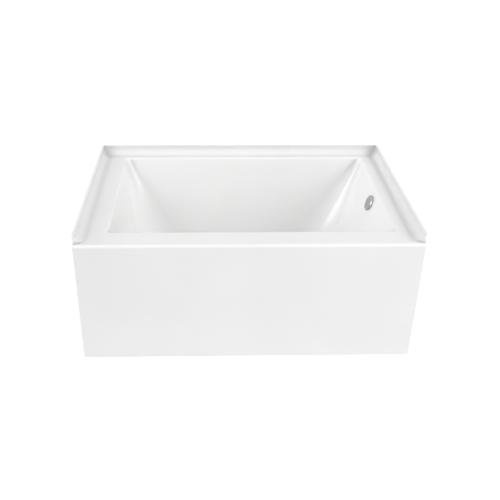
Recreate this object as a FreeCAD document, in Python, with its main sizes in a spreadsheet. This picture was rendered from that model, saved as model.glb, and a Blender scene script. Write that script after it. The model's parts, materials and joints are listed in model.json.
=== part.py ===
import FreeCAD, Part
import Sketcher
import math
import os

# Alcove bathtub with an apron front, a tiling flange on three sides and the waste at the right end.
# Frame: origin at the bottom centre, +X along the tub towards the waste end, the apron faces -Y, +Z up.

V = FreeCAD.Vector
DOC = FreeCAD.newDocument("alcove_bathtub")

# Driving dimensions in millimetres: name, value, what it measures.
DIMENSIONS = (
    ("tub_length", 1219.2, "outer length, left flange face to right flange face"),
    ("tub_depth", 812.8, "outer depth, apron face to back flange face"),
    ("deck_height", 482.6, "floor of the room to the deck's top"),
    ("flange_height", 38.1, "tiling flange above the deck"),
    ("flange_lip", 9.0, "thickness of the flange at its top"),
    ("cove_radius", 30.0, "hollow curve from the flange into the deck"),
    ("flange_end_set", 14.0, "apron face to the flange's front end"),
    ("shell_wall", 5.0, "moulded sheet"),
    ("deck_left", 109.6, "left face to the basin's rim"),
    ("deck_right", 82.6, "right face to the basin's rim"),
    ("deck_front", 97.4, "apron face to the basin's rim"),
    ("deck_back", 61.4, "back face to the basin's rim"),
    ("rim_corner", 14.0, "plan radius of the rim's corners"),
    ("rim_round", 8.0, "rolled edge between deck and basin"),
    ("basin_floor", 104.0, "room floor to the basin's floor"),
    ("lean_left", 60.0, "how far the left wall leans in, rim to floor"),
    ("lean_right", 139.0, "how far the waste-end wall leans in"),
    ("lean_front", 54.0, "how far the front wall leans in"),
    ("lean_back", 55.0, "how far the back wall leans in"),
    ("floor_corner", 170.0, "plan radius of the floor's corners"),
    ("floor_fillet", 50.0, "curve between walls and floor"),
    ("front_roll", 10.0, "rolled front edge of the deck"),
    ("front_drop", 34.0, "deck's top to the lower edge of the rolled front"),
    ("skirt_return", 32.0, "how far the front's ends fold back"),
    ("skirt_corner", 4.0, "outer bend of those ends"),
    ("apron_wall", 5.0, "apron sheet"),
    ("bond_gap", 0.3, "bond line between curved skins"),
    ("backing_wall", 4.0, "glass-fibre backing"),
    ("board_wall", 12.0, "base board under the floor"),
    ("board_inset", 6.0, "flat of the backing to the board's edge"),
    ("board_corner", 110.0, "plan radius of the board's corners"),
    ("notch_clearance", 4.0, "boss to the board's notch"),
    ("batten_height", 30.0, "height of the deck battens"),
    ("front_batten_width", 60.0, "front deck batten"),
    ("rear_batten_width", 40.0, "rear deck batten"),
    ("left_batten_width", 70.0, "left deck batten"),
    ("right_batten_width", 48.0, "right deck batten"),
    ("batten_set", 10.0, "shell's outer edge to a batten"),
    ("sill_height", 30.0, "apron sill batten"),
    ("sill_width", 30.0, "apron sill batten and stiffeners, front to back"),
    ("stiffener_wall", 18.0, "thickness of an apron stiffener"),
    ("stiffener_pitch", 380.0, "between apron stiffeners"),
    ("timber_chamfer", 3.0, "broken edges of the battens"),
    ("rail_left_inset", 110.0, "floor's left edge to the left cross rail"),
    ("rail_right_inset", 134.6, "waste's axis to the right cross rail"),
    ("rail_end_inset", 15.0, "floor's edge to a cross rail's end"),
    ("rail_sheet", 2.0, "rail's sheet steel"),
    ("rail_depth", 27.0, "board to the rail's crown"),
    ("rail_crown", 34.0, "width of the rail's crown"),
    ("rail_brim", 20.0, "width of each brim"),
    ("rail_screw_pitch", 240.0, "between a brim's two screws"),
    ("rail_screw_radius", 2.5, "wood screw's shank"),
    ("screw_head_radius", 5.0, "pan head"),
    ("screw_head_height", 3.0, "pan head"),
    ("screw_bite", 9.0, "screw's length in the board"),
    ("foot_inset", 26.0, "rail's end to a foot"),
    ("stud_radius", 5.0, "levelling stud, over its thread"),
    ("running_gap", 0.05, "stud in its nut, stem in its sleeve"),
    ("seat_gap", 0.3, "between round seats of neighbouring pieces"),
    ("nut_flats", 17.0, "welded nut and lock nut, across flats"),
    ("nut_height", 8.0, "welded nut and lock nut"),
    ("pad_radius", 24.0, "levelling pad's base"),
    ("pad_height", 14.0, "levelling pad"),
    ("pad_socket", 9.0, "depth of the stud's end in the pad"),
    ("pad_neck", 10.0, "radius of the pad's neck"),
    ("pad_edge", 3.0, "rounded lower edge of the pad"),
    ("pad_base", 5.0, "height of the pad's upright side"),
    ("pad_slope", 9.0, "height where the pad's top meets its neck"),
    ("waste_inset", 325.0, "right face to the waste's axis"),
    ("recess_depth", 3.0, "recess round the waste"),
    ("recess_radius", 38.5, "recess round the waste"),
    ("boss_wall", 11.5, "boss under the floor beyond the recess"),
    ("waste_hole", 24.5, "radius of the hole in the floor"),
    ("flange_radius", 36.5, "waste flange's disc"),
    ("flange_disc", 2.6, "waste flange's height above the recess"),
    ("shank_radius", 23.5, "waste flange's threaded shank"),
    ("shank_length", 30.0, "waste flange's shank below its disc"),
    ("shank_bore", 20.5, "radius of the bore through the shank"),
    ("cross_wall", 4.0, "bars of the cross"),
    ("cross_hub", 7.5, "radius of the cross's hub"),
    ("sleeve_radius", 5.0, "stopper's sleeve"),
    ("stem_radius", 3.0, "stopper's stem"),
    ("stem_hold", 8.0, "stem left in its sleeve when the stopper is up"),
    ("cap_radius", 31.0, "stopper's cap"),
    ("cap_height", 6.0, "stopper's cap"),
    ("stopper_lift", 9.0, "travel of the stopper"),
    ("seal_radius", 26.0, "stopper's seal"),
    ("seal_height", 3.0, "stopper's seal"),
    ("seal_clearance", 0.9, "stopper's seal to the flange round it"),
    ("waste_seal_radius", 41.0, "rubber ring under the floor"),
    ("waste_seal_height", 5.0, "rubber ring under the floor"),
    ("shoe_radius", 28.5, "waste shoe's cup"),
    ("shoe_bottom", 41.0, "room floor to the shoe's underside"),
    ("shoe_wall", 3.0, "waste shoe's bottom"),
    ("shoe_rim", 4.0, "waste shoe's top rim"),
    ("pipe_radius", 19.05, "waste and overflow pipes, outside"),
    ("pipe_wall", 1.6, "waste and overflow pipes"),
    ("tee_inset", 46.0, "right face to the tee's axis"),
    ("tee_wall", 3.2, "waste tee beyond its pipes"),
    ("tee_top", 42.0, "waste pipe's axis to the tee's upper end"),
    ("tee_side", 40.0, "tee's axis to its side end"),
    ("tee_socket", 16.0, "length of a pipe's end inside a fitting"),
    ("tail_bottom", 6.0, "room floor to the tail pipe's end"),
    ("tail_mark_depth", 0.4, "ring cut in the tail pipe that marks how far a trap goes on"),
    ("tail_mark_height", 0.8, "the same ring's height"),
    ("slip_nut_radius", 27.5, "slip nut, over its lugs"),
    ("slip_nut_height", 16.0, "slip nut"),
    ("slip_nut_lip", 3.0, "slip nut's end"),
    ("washer_height", 5.0, "slip washer"),
    ("overflow_drop", 56.0, "deck's top to the overflow's centre"),
    ("overflow_hole", 27.0, "radius of the hole in the end wall"),
    ("gasket_radius", 38.0, "overflow gasket"),
    ("gasket_height", 6.0, "overflow gasket"),
    ("elbow_plate", 4.0, "overflow elbow's face plate"),
    ("elbow_wall", 3.2, "overflow elbow beyond its pipe"),
    ("elbow_radius", 30.0, "bend of the overflow elbow"),
    ("overflow_plate_wall", 2.5, "overflow's back plate"),
    ("overflow_port", 14.0, "opening in the back plate"),
    ("overflow_screw_set", 24.0, "overflow's axis to a screw"),
    ("overflow_screw_radius", 2.4, "overflow's screws"),
    ("overflow_cap_radius", 32.0, "overflow's cap"),
    ("overflow_cap_height", 9.0, "overflow's cap above the wall"),
    ("overflow_cap_wall", 1.6, "overflow's cap"),
    ("overflow_cap_round", 4.0, "rolled edge of the overflow's cap"),
    ("overflow_slot", 30.0, "width of the water slot under the cap"),
    ("overflow_slot_height", 5.0, "height of the water slot"),
    ("foot_travel", 12.0, "levelling foot, down from its highest place"),
    ("elbow_tail", 20.0, "overflow elbow's straight lower end"),
    ("pipe_set", 1.0, "waste shoe's underside to its pipe"),
    ("tee_foot", 32.5, "waste pipe's axis to the tee's lower end"),
    ("seal_seat", 1.0, "height of the stopper's seat above the recess"),
    ("cross_height", 6.0, "cross in the shank"),
    ("cross_drop", 19.0, "recess to the cross's top"),
    ("sleeve_top", 3.0, "recess to the sleeve's upper end"),
    ("sleeve_length", 30.0, "stopper's sleeve"),
    ("sleeve_collar", 3.0, "collar on the stopper's sleeve"),
    ("apron_floor", 5.0, "apron's fold along the room floor"),
    ("overflow_head_height", 2.0, "overflow's screw heads"),
    ("nut_groove", 3.0, "grip grooves of a slip nut"),
)

# Grip grooves round a slip nut.
NUT_GROOVES = 10

SHEET = DOC.addObject("Spreadsheet::Sheet", "Sizes")


class Size:
    """A length that knows both its value and the sheet formula it comes from."""

    def __init__(self, value, formula):
        self.value = value
        self.formula = formula

    def _with(self, other, symbol, result, swapped=False):
        other_text = other.formula if isinstance(other, Size) else repr(other)
        pair = (other_text, self.formula) if swapped else (self.formula, other_text)
        return Size(result, "(%s %s %s)" % (pair[0], symbol, pair[1]))

    def __add__(self, other):
        return self._with(other, "+", self.value + plain(other))

    def __radd__(self, other):
        return self._with(other, "+", plain(other) + self.value, True)

    def __sub__(self, other):
        return self._with(other, "-", self.value - plain(other))

    def __rsub__(self, other):
        return self._with(other, "-", plain(other) - self.value, True)

    def __mul__(self, other):
        return self._with(other, "*", self.value * plain(other))

    def __rmul__(self, other):
        return self._with(other, "*", plain(other) * self.value, True)

    def __truediv__(self, other):
        return self._with(other, "/", self.value / plain(other))

    def __neg__(self):
        return Size(-self.value, "(0 - %s)" % self.formula)

    def root(self):
        return Size(math.sqrt(self.value), "sqrt(%s)" % self.formula)


def plain(number):
    """The value of a size, or the number itself."""
    return number.value if isinstance(number, Size) else float(number)


class Sizes:
    """Every driving dimension as an attribute, bound to its cell in the sheet."""


S = Sizes()
for row, (alias, amount, note) in enumerate(DIMENSIONS, start=1):
    SHEET.set("A%d" % row, note)
    SHEET.set("B%d" % row, str(amount))
    SHEET.setAlias("B%d" % row, alias)
    setattr(S, alias, Size(amount, "Sizes.%s" % alias))
DOC.recompute()

ZERO = Size(0.0, "0")
BODIES = []

# ---------------------------------------------------------------- drawing helpers

def new_body(name):
    body = DOC.addObject("PartDesign::Body", name)
    body.Label = name
    BODIES.append(body)
    return body


def new_sketch(body, name, plane="XY", lift=ZERO, frame=None):
    """A sketch on one of the body's origin planes, lifted along its normal or turned into a frame."""
    sketch = body.newObject("Sketcher::SketchObject", name)
    role = {"XY": "XY_Plane", "XZ": "XZ_Plane", "YZ": "YZ_Plane"}[plane]
    base = [item for item in body.Origin.OriginFeatures if item.Role == role][0]
    sketch.AttachmentSupport = [(base, "")]
    sketch.MapMode = "FlatFace"
    if frame is None:
        sketch.AttachmentOffset = FreeCAD.Placement(V(0, 0, lift.value), FreeCAD.Rotation())
        sketch.setExpression("AttachmentOffset.Base.z", lift.formula)
    else:
        sketch.AttachmentOffset = frame
    return sketch


def bind_constraint(sketch, label, size, *values):
    """Adds a named constraint that follows a size."""
    index = sketch.addConstraint(Sketcher.Constraint(*values, plain(size)))
    sketch.renameConstraint(index, label)
    if isinstance(size, Size):
        sketch.setExpression("Constraints.%s" % label, size.formula)


def pin_point(sketch, geometry, end, label, x, y):
    """Fixes one end of a sketch edge at two sizes."""
    bind_constraint(sketch, label + "_x", x, "DistanceX", -1, 1, geometry, end)
    bind_constraint(sketch, label + "_y", y, "DistanceY", -1, 1, geometry, end)


def arc_geometry(a, b, radius, turn):
    """The short arc from a to b; turn is +1 for a bend to the left and -1 to the right."""
    half = (b - a) * 0.5
    rise = math.sqrt(max(radius * radius - half.Length * half.Length, 0.0))
    centre = a + half + V(-half.y, half.x, 0).normalize() * (rise * turn)
    first, second = (a, b) if turn > 0 else (b, a)
    angles = [math.atan2(end.y - centre.y, end.x - centre.x) for end in (first, second)]
    return Part.ArcOfCircle(Part.Circle(centre, V(0, 0, 1), radius), angles[0], angles[1])


def outline(sketch, start, steps, closed=True):
    """Draws lines and arcs from a start point. A step is (x, y), or (x, y, radius, turn) for an arc."""
    points = [start] + [step[:2] for step in steps]
    first_end, last_end = 1, 2
    for number, step in enumerate(steps):
        a, b = [V(plain(x), plain(y), 0) for x, y in points[number:number + 2]]
        ends = (1, 2)
        if len(step) == 2:
            sketch.addGeometry(Part.LineSegment(a, b), False)
        else:
            sketch.addGeometry(arc_geometry(a, b, plain(step[2]), step[3]), False)
            bind_constraint(sketch, "bend_%d" % number, step[2], "Radius", number)
            if step[3] < 0:
                ends = (2, 1)
        if number == 0:
            first_end = ends[0]
            if not closed:
                pin_point(sketch, 0, first_end, "start", start[0], start[1])
        else:
            sketch.addConstraint(Sketcher.Constraint("Coincident", number - 1, last_end, number, ends[0]))
        last_end = ends[1]
        pin_point(sketch, number, last_end, "point_%d" % number, step[0], step[1])
    if closed:
        sketch.addConstraint(Sketcher.Constraint("Coincident", len(steps) - 1, last_end, 0, first_end))
    return sketch


def rectangle(sketch, x0, x1, y0, y1):
    return outline(sketch, (x0, y0), [(x1, y0), (x1, y1), (x0, y1), (x0, y0)])


def rounded_rectangle(sketch, x0, x1, y0, y1, r):
    """A rectangle whose four corners have the same radius."""
    return outline(sketch, (x0 + r, y0), [
        (x1 - r, y0), (x1, y0 + r, r, 1), (x1, y1 - r), (x1 - r, y1, r, 1),
        (x0 + r, y1), (x0, y1 - r, r, 1), (x0, y0 + r), (x0 + r, y0, r, 1)])


def circles(sketch, *rows):
    """Full circles, each given as centre x, centre y and radius."""
    for number, (x, y, radius) in enumerate(rows):
        sketch.addGeometry(Part.Circle(V(plain(x), plain(y), 0), V(0, 0, 1), plain(radius)), False)
        pin_point(sketch, number, 3, "centre_%d" % number, x, y)
        bind_constraint(sketch, "radius_%d" % number, radius, "Radius", number)
    return sketch


def hexagon(sketch, flats):
    """A nut's outline about the origin."""
    half, reach = flats / 2, flats / Size(3.0, "3").root()
    return outline(sketch, (half, -reach / 2), [
        (half, reach / 2), (ZERO, reach), (-half, reach / 2), (-half, -reach / 2), (ZERO, -reach),
        (half, -reach / 2)])


def feature(body, kind, name, **values):
    """Adds a feature; sizes among its values are bound to the sheet."""
    item = body.newObject("PartDesign::" + kind, name)
    for key, value in values.items():
        if isinstance(value, Size):
            setattr(item, key, value.value)
            item.setExpression(key, value.formula)
        else:
            setattr(item, key, value)
    return item


def pad(body, sketch, length, name, reverse=False):
    return feature(body, "Pad", name, Profile=sketch, Length=length, Reversed=reverse)


def volume(body):
    DOC.recompute()
    return body.Shape.Volume


def pocket(body, sketch, length, name, reverse=False):
    """Cuts against the sketch's normal, or along it when reversed; a cut that removes nothing is an error."""
    before = volume(body)
    item = feature(body, "Pocket", name, Profile=sketch, Length=length, Reversed=reverse)
    if volume(body) >= before:
        raise RuntimeError("%s cuts nothing" % name)
    return item


def revolve(body, sketch, name, cut=False):
    """Turns a sketch of the XZ plane about the body's vertical axis."""
    before = volume(body) if cut else 0.0
    kind = "Groove" if cut else "Revolution"
    item = feature(body, kind, name, Profile=sketch, ReferenceAxis=(sketch, ["V_Axis"]), Angle=360.0)
    if cut and volume(body) >= before:
        raise RuntimeError("%s cuts nothing" % name)
    return item


def edges_where(body, test):
    """Names of the edges whose bounding box passes a test."""
    DOC.recompute()
    tip = body.Tip
    names = ["Edge%d" % (number + 1) for number, edge in enumerate(tip.Shape.Edges) if test(edge.BoundBox)]
    if not names:
        raise RuntimeError("no edge of %s passes" % tip.Name)
    return (tip, names)


def round_edges(body, radius, name, test):
    return feature(body, "Fillet", name, Base=edges_where(body, test), Radius=radius)


def break_edges(body, size, name, test):
    return feature(body, "Chamfer", name, Base=edges_where(body, test), Size=size)


def near(a, b):
    return abs(a - plain(b)) < 0.01


def level(z):
    """A test for edges that lie flat at one height."""
    return lambda box: near(box.ZMin, z) and near(box.ZMax, z)


def turned(name, start, steps, place=None):
    """A turned piece: the outline holds radius and height."""
    body = new_body(name)
    revolve(body, outline(new_sketch(body, name + "_outline", "XZ"), start, steps), name + "_turning")
    if place:
        put(body, *place)
    return body


def put(body, x, y, z=ZERO, rotation=None):
    """Places a body, with its position bound to the sheet."""
    body.Placement = FreeCAD.Placement(V(plain(x), plain(y), plain(z)), rotation or FreeCAD.Rotation())
    for axis, size in (("x", x), ("y", y), ("z", z)):
        if isinstance(size, Size):
            body.setExpression("Placement.Base." + axis, size.formula)


def group(name, shapes):
    """Loose identical fasteners that share one node."""
    item = DOC.addObject("Part::Feature", name)
    item.Shape = Part.makeCompound(shapes)
    item.Label = name
    BODIES.append(item)
    return item


# ---------------------------------------------------------------- places worked out from the sizes

RIGHT = S.tub_length / 2
LEFT = -RIGHT
BACK = S.tub_depth / 2
FRONT = -BACK
RIM_LEFT = LEFT + S.deck_left
RIM_RIGHT = RIGHT - S.deck_right
RIM_FRONT = FRONT + S.deck_front
RIM_BACK = BACK - S.deck_back
MIDDLE = (RIM_FRONT + RIM_BACK) / 2
FLANGE_TOP = S.deck_height + S.flange_height
DECK_UNDER = S.deck_height - S.shell_wall
FLOOR_UNDER = S.basin_floor - S.shell_wall
RECESS = S.basin_floor - S.recess_depth
BOSS_UNDER = FLOOR_UNDER - S.recess_depth
BACKING_UNDER = FLOOR_UNDER - S.bond_gap - S.backing_wall
BOARD_UNDER = BACKING_UNDER - S.board_wall
CROWN_UNDER = BOARD_UNDER - S.rail_depth
BASIN_DEPTH = S.deck_height - S.basin_floor
WASTE_X = RIGHT - S.waste_inset
WASTE_AXIS = S.shoe_bottom + S.pipe_set + S.pipe_radius
TEE_X = RIGHT - S.tee_inset
APRON_TOP = S.deck_height - S.front_drop
BOSS_RADIUS = S.recess_radius + S.boss_wall
SOCKET = S.pipe_radius + S.seat_gap
PIPE_BORE = S.pipe_radius - S.pipe_wall
TEE_RADIUS = S.pipe_radius + S.tee_wall

# The cross rails lie under the flat of the floor.
RAIL_LEFT = RIM_LEFT + S.lean_left + S.rail_left_inset
RAIL_RIGHT = WASTE_X - S.rail_right_inset
RAIL_LENGTH = RIM_BACK - RIM_FRONT - S.lean_front - S.lean_back - S.rail_end_inset * 2

# The waste-end wall's slope, and the overflow's axis square to it.
SLOPE = (BASIN_DEPTH * BASIN_DEPTH + S.lean_right * S.lean_right).root()
OUTWARD = BASIN_DEPTH / SLOPE
DOWNWARD = S.lean_right / SLOPE
OVERFLOW_X = RIM_RIGHT - S.lean_right * S.overflow_drop / BASIN_DEPTH
OVERFLOW_Z = S.deck_height - S.overflow_drop
WALL_THROUGH = (S.shell_wall + S.bond_gap + S.backing_wall) * OUTWARD
OVERFLOW_TURN = FreeCAD.Rotation(V(0, 1, 0), 90 + math.degrees(math.atan2(plain(S.lean_right), plain(BASIN_DEPTH))))


def on_overflow(out):
    """Place of a point on the overflow's axis, measured outward from the basin's wall."""
    return OVERFLOW_X + OUTWARD * out, MIDDLE, OVERFLOW_Z - DOWNWARD * out, OVERFLOW_TURN


def overflow_frame(out):
    x, y, z, rotation = on_overflow(out)
    return FreeCAD.Placement(V(plain(x), plain(y), plain(z)), rotation)


def basin_section(body, name, offset, z):
    """The basin's outline at one height: straight walls that lean in, corners that open as cones."""
    share = (S.deck_height - z) / BASIN_DEPTH
    return rounded_rectangle(
        new_sketch(body, name, "XY", z),
        RIM_LEFT + S.lean_left * share - offset, RIM_RIGHT - S.lean_right * share + offset,
        RIM_FRONT + S.lean_front * share - offset, RIM_BACK - S.lean_back * share + offset,
        S.rim_corner + (S.floor_corner - S.rim_corner) * share + offset)


def basin_solid(body, name, offset, top, bottom):
    """Adds the basin's form to a body, with its floor's edge rounded."""
    upper = basin_section(body, name + "_rim", offset, top)
    lower = basin_section(body, name + "_floor", offset, bottom)
    feature(body, "AdditiveLoft", name, Profile=upper, Sections=[lower], Ruled=True)
    round_edges(body, S.floor_fillet + offset, name + "_fillet", level(bottom))


def basin_cut(body, name, offset, top, bottom):
    """Hollows a body with the basin's form, which is modelled as a core of its own."""
    before = volume(body)
    core = DOC.addObject("PartDesign::Body", name + "_core")
    basin_solid(core, name, offset, top, bottom)
    feature(body, "Boolean", name + "_cut", Type="Cut", Group=[core])
    if volume(body) >= before:
        raise RuntimeError("%s cuts nothing" % name)


# ---------------------------------------------------------------- the moulded bath and its apron

def skirt_outline(sketch):
    """The folded front in plan: a long face with a short return at each end."""
    w, d = S.apron_wall, S.skirt_return
    return outline(sketch, (LEFT, FRONT), [
        (RIGHT, FRONT), (RIGHT, FRONT + d), (RIGHT - w, FRONT + d), (RIGHT - w, FRONT + w),
        (LEFT + w, FRONT + w), (LEFT + w, FRONT + d), (LEFT, FRONT + d), (LEFT, FRONT)])


def at_front_corner(box):
    """A test for the upright edges where the front meets its returns."""
    return near(abs(box.XMin), RIGHT) and near(box.XMin, box.XMax) and near(box.YMin, FRONT) and near(box.YMax, FRONT)


def tub_shell():
    """Basin, deck, tiling flange and rolled front in one moulded sheet."""
    body = new_body("tub_shell")
    plate = rectangle(new_sketch(body, "deck_plan", "XY", DECK_UNDER), LEFT, RIGHT, FRONT, BACK)
    pad(body, plate, S.shell_wall + S.flange_height, "deck_block")

    lip = S.flange_lip
    over = S.cove_radius
    tray = rectangle(new_sketch(body, "tray_plan", "XY", FLANGE_TOP),
                     LEFT + lip, RIGHT - lip, FRONT - over, BACK - lip)
    pocket(body, tray, S.flange_height, "tray")
    side = plain(RIGHT - lip)
    round_edges(body, S.cove_radius, "cove", lambda box: level(S.deck_height)(box) and (
        near(box.YMin, BACK - lip) or near(box.XMin, side) or near(box.XMax, -side)))

    # The flange's front ends run out in a quarter round towards the tub's corners.
    reach = lip + S.cove_radius
    start = FRONT + S.flange_end_set
    for name, edge, turn in (("right_end", RIGHT, 1), ("left_end", LEFT, -1)):
        inner = edge - reach * turn
        sketch = new_sketch(body, name + "_plan", "XY", FLANGE_TOP)
        outline(sketch, (inner, start + reach), [
            (edge, start, reach, turn), (edge + over * turn, start), (edge + over * turn, FRONT - over),
            (inner, FRONT - over), (inner, start + reach)])
        pocket(body, sketch, S.flange_height, name)

    front = new_sketch(body, "front_plan", "XY", APRON_TOP)
    pad(body, skirt_outline(front), S.front_drop - S.shell_wall, "front_fold")
    round_edges(body, S.front_roll, "front_roll", lambda box: (
        level(S.deck_height)(box) and near(box.YMin, FRONT) and near(box.YMax, FRONT)))
    round_edges(body, S.skirt_corner, "front_corners", at_front_corner)

    basin_solid(body, "basin_outside", S.shell_wall, S.deck_height, FLOOR_UNDER)
    boss = circles(new_sketch(body, "boss_plan", "XY", BOSS_UNDER), (WASTE_X, MIDDLE, BOSS_RADIUS))
    pad(body, boss, S.recess_depth, "waste_boss")
    basin_cut(body, "basin_inside", ZERO, S.deck_height, S.basin_floor)
    round_edges(body, S.rim_round, "rim_roll", lambda box: (
        level(S.deck_height)(box) and box.XMin > plain(RIM_LEFT) - 1 and box.XMax < plain(RIM_RIGHT) + 1
        and box.YMin > plain(RIM_FRONT) - 1 and box.YMax < plain(RIM_BACK) + 1))

    recess = circles(new_sketch(body, "recess_plan", "XY", S.basin_floor), (WASTE_X, MIDDLE, S.recess_radius))
    pocket(body, recess, S.recess_depth, "waste_recess")
    hole = circles(new_sketch(body, "waste_plan", "XY", S.basin_floor), (WASTE_X, MIDDLE, S.waste_hole))
    pocket(body, hole, S.shell_wall + S.recess_depth * 2, "waste_hole")
    port = new_sketch(body, "overflow_plan", frame=overflow_frame(-S.gasket_height))
    pocket(body, circles(port, (ZERO, ZERO, S.overflow_hole)), WALL_THROUGH + S.gasket_height * 2,
           "overflow_hole", reverse=True)
    return body


def shell_backing():
    """Sprayed glass-fibre layer that stiffens the basin from outside."""
    body = new_body("shell_backing")
    inner = S.shell_wall + S.bond_gap
    basin_solid(body, "backing_outside", inner + S.backing_wall, DECK_UNDER, BACKING_UNDER)
    basin_cut(body, "backing_inside", inner, DECK_UNDER, FLOOR_UNDER - S.bond_gap)
    hole = circles(new_sketch(body, "boss_gap_plan", "XY", FLOOR_UNDER), (WASTE_X, MIDDLE, BOSS_RADIUS + S.bond_gap))
    pocket(body, hole, S.backing_wall * 3, "boss_gap")
    port = new_sketch(body, "port_plan", frame=overflow_frame(ZERO))
    pocket(body, circles(port, (ZERO, ZERO, S.overflow_hole)), WALL_THROUGH + S.gasket_height, "port", reverse=True)
    return body


def apron_panel():
    """Front panel with a fold at each end and one along the room floor."""
    body = new_body("apron_panel")
    pad(body, skirt_outline(new_sketch(body, "apron_plan")), APRON_TOP, "apron_face")
    round_edges(body, S.skirt_corner, "apron_corners", at_front_corner)
    fold = rectangle(new_sketch(body, "fold_plan"), LEFT + S.apron_wall, RIGHT - S.apron_wall,
                     FRONT + S.apron_wall, FRONT + S.skirt_return)
    pad(body, fold, S.apron_floor, "floor_fold")
    return body


# ---------------------------------------------------------------- timber, board and steel underneath

def batten(name, x0, x1, y0, y1, z0, z1):
    """A sawn batten with its long edges broken."""
    body = new_body(name)
    pad(body, rectangle(new_sketch(body, name + "_plan", "XY", z0), x0, x1, y0, y1), z1 - z0, name + "_length")
    break_edges(body, S.timber_chamfer, name + "_edges", level(z0))
    return body


def timbers():
    under, low = DECK_UNDER, DECK_UNDER - S.batten_height
    gap = S.batten_set + S.shell_wall
    front_edge = FRONT + gap + S.front_batten_width
    rear_edge = BACK - S.batten_set - S.rear_batten_width
    batten("front_deck_batten", LEFT + gap, RIGHT - gap, FRONT + gap, front_edge, low, under)
    batten("rear_deck_batten", LEFT + gap, RIGHT - gap, rear_edge, BACK - S.batten_set, low, under)
    batten("left_deck_batten", LEFT + gap, LEFT + gap + S.left_batten_width, front_edge, rear_edge, low, under)
    batten("right_deck_batten", RIGHT - gap - S.right_batten_width, RIGHT - gap, front_edge, rear_edge, low, under)

    inside = FRONT + S.apron_wall
    sill_top = S.apron_floor + S.sill_height
    end = S.apron_wall + S.batten_set
    batten("apron_sill_batten", LEFT + end, RIGHT - end, inside, inside + S.sill_width, S.apron_floor, sill_top)
    for name, place in (("left", -S.stiffener_pitch), ("middle", ZERO), ("right", S.stiffener_pitch)):
        half = S.stiffener_wall / 2
        batten("apron_stiffener_" + name, place - half, place + half, inside, inside + S.sill_width, sill_top, low)


def base_board():
    """Plywood board bonded under the basin's floor, open round the waste."""
    body = new_body("base_board")
    share = (S.deck_height - BACKING_UNDER) / BASIN_DEPTH
    inset = S.floor_fillet + S.board_inset
    sketch = new_sketch(body, "board_plan", "XY", BOARD_UNDER)
    rounded_rectangle(sketch, RIM_LEFT + S.lean_left * share + inset, RIM_RIGHT - S.lean_right * share - inset,
                      RIM_FRONT + S.lean_front * share + inset, RIM_BACK - S.lean_back * share - inset,
                      S.board_corner)
    pad(body, sketch, S.board_wall, "board")
    gap = BOSS_RADIUS + S.notch_clearance
    notch = new_sketch(body, "notch_plan", "XY", BACKING_UNDER)
    outline(notch, (WASTE_X, MIDDLE - gap), [
        (WASTE_X + gap * 2, MIDDLE - gap), (WASTE_X + gap * 2, MIDDLE + gap), (WASTE_X, MIDDLE + gap),
        (WASTE_X - gap, MIDDLE, gap, 1), (WASTE_X, MIDDLE - gap, gap, 1)])
    pocket(body, notch, S.board_wall, "waste_notch")
    holes = [(x, y, S.rail_screw_radius + S.running_gap) for x, y in rail_screw_places()]
    pocket(body, circles(new_sketch(body, "pilot_plan", "XY", BOARD_UNDER), *holes), S.screw_bite, "pilots",
           reverse=True)
    return body


def rail_screw_places():
    """Two screws in each brim of both cross rails."""
    side = (S.rail_crown + S.rail_brim) / 2
    half = S.rail_screw_pitch / 2
    return [(rail + side * across, MIDDLE + half * along)
            for rail in (RAIL_LEFT, RAIL_RIGHT) for across in (-1, 1) for along in (-1, 1)]


def foot_places(rail):
    half = RAIL_LENGTH / 2 - S.foot_inset
    return (("front", rail, MIDDLE - half), ("rear", rail, MIDDLE + half))


def cross_rail(side, rail):
    """Top-hat rail of folded sheet steel across the base board."""
    body = new_body("cross_rail_" + side)
    top, sheet, half = BOARD_UNDER, S.rail_sheet, S.rail_crown / 2
    low, tip = CROWN_UNDER, half + S.rail_brim
    sketch = new_sketch(body, "rail_section", "XZ", -(MIDDLE + RAIL_LENGTH / 2))
    outline(sketch, (rail - tip, top), [
        (rail - tip, top - sheet), (rail - half, top - sheet), (rail - half, low), (rail + half, low),
        (rail + half, top - sheet), (rail + tip, top - sheet), (rail + tip, top), (rail + half - sheet, top),
        (rail + half - sheet, low + sheet), (rail - half + sheet, low + sheet), (rail - half + sheet, top),
        (rail - tip, top)])
    pad(body, sketch, RAIL_LENGTH, "rail_length")
    stud_holes = [(x, y, S.stud_radius + S.seat_gap) for _, x, y in foot_places(rail)]
    pocket(body, circles(new_sketch(body, "stud_plan", "XY", low), *stud_holes), sheet * 2, "stud_holes", reverse=True)
    screw_holes = [(x, y, S.rail_screw_radius + S.seat_gap) for x, y in rail_screw_places()
                   if abs(plain(x - rail)) < plain(tip)]
    pocket(body, circles(new_sketch(body, "screw_plan", "XY", top), *screw_holes), sheet * 2, "screw_holes")
    return body


def hex_nut(name, x, y, z):
    body = new_body(name)
    pad(body, hexagon(new_sketch(body, name + "_flats"), S.nut_flats), S.nut_height, name + "_height")
    bore = circles(new_sketch(body, name + "_bore_plan"), (ZERO, ZERO, S.stud_radius + S.running_gap))
    pocket(body, bore, S.nut_height, name + "_bore", reverse=True)
    put(body, x, y, z)
    return body


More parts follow.
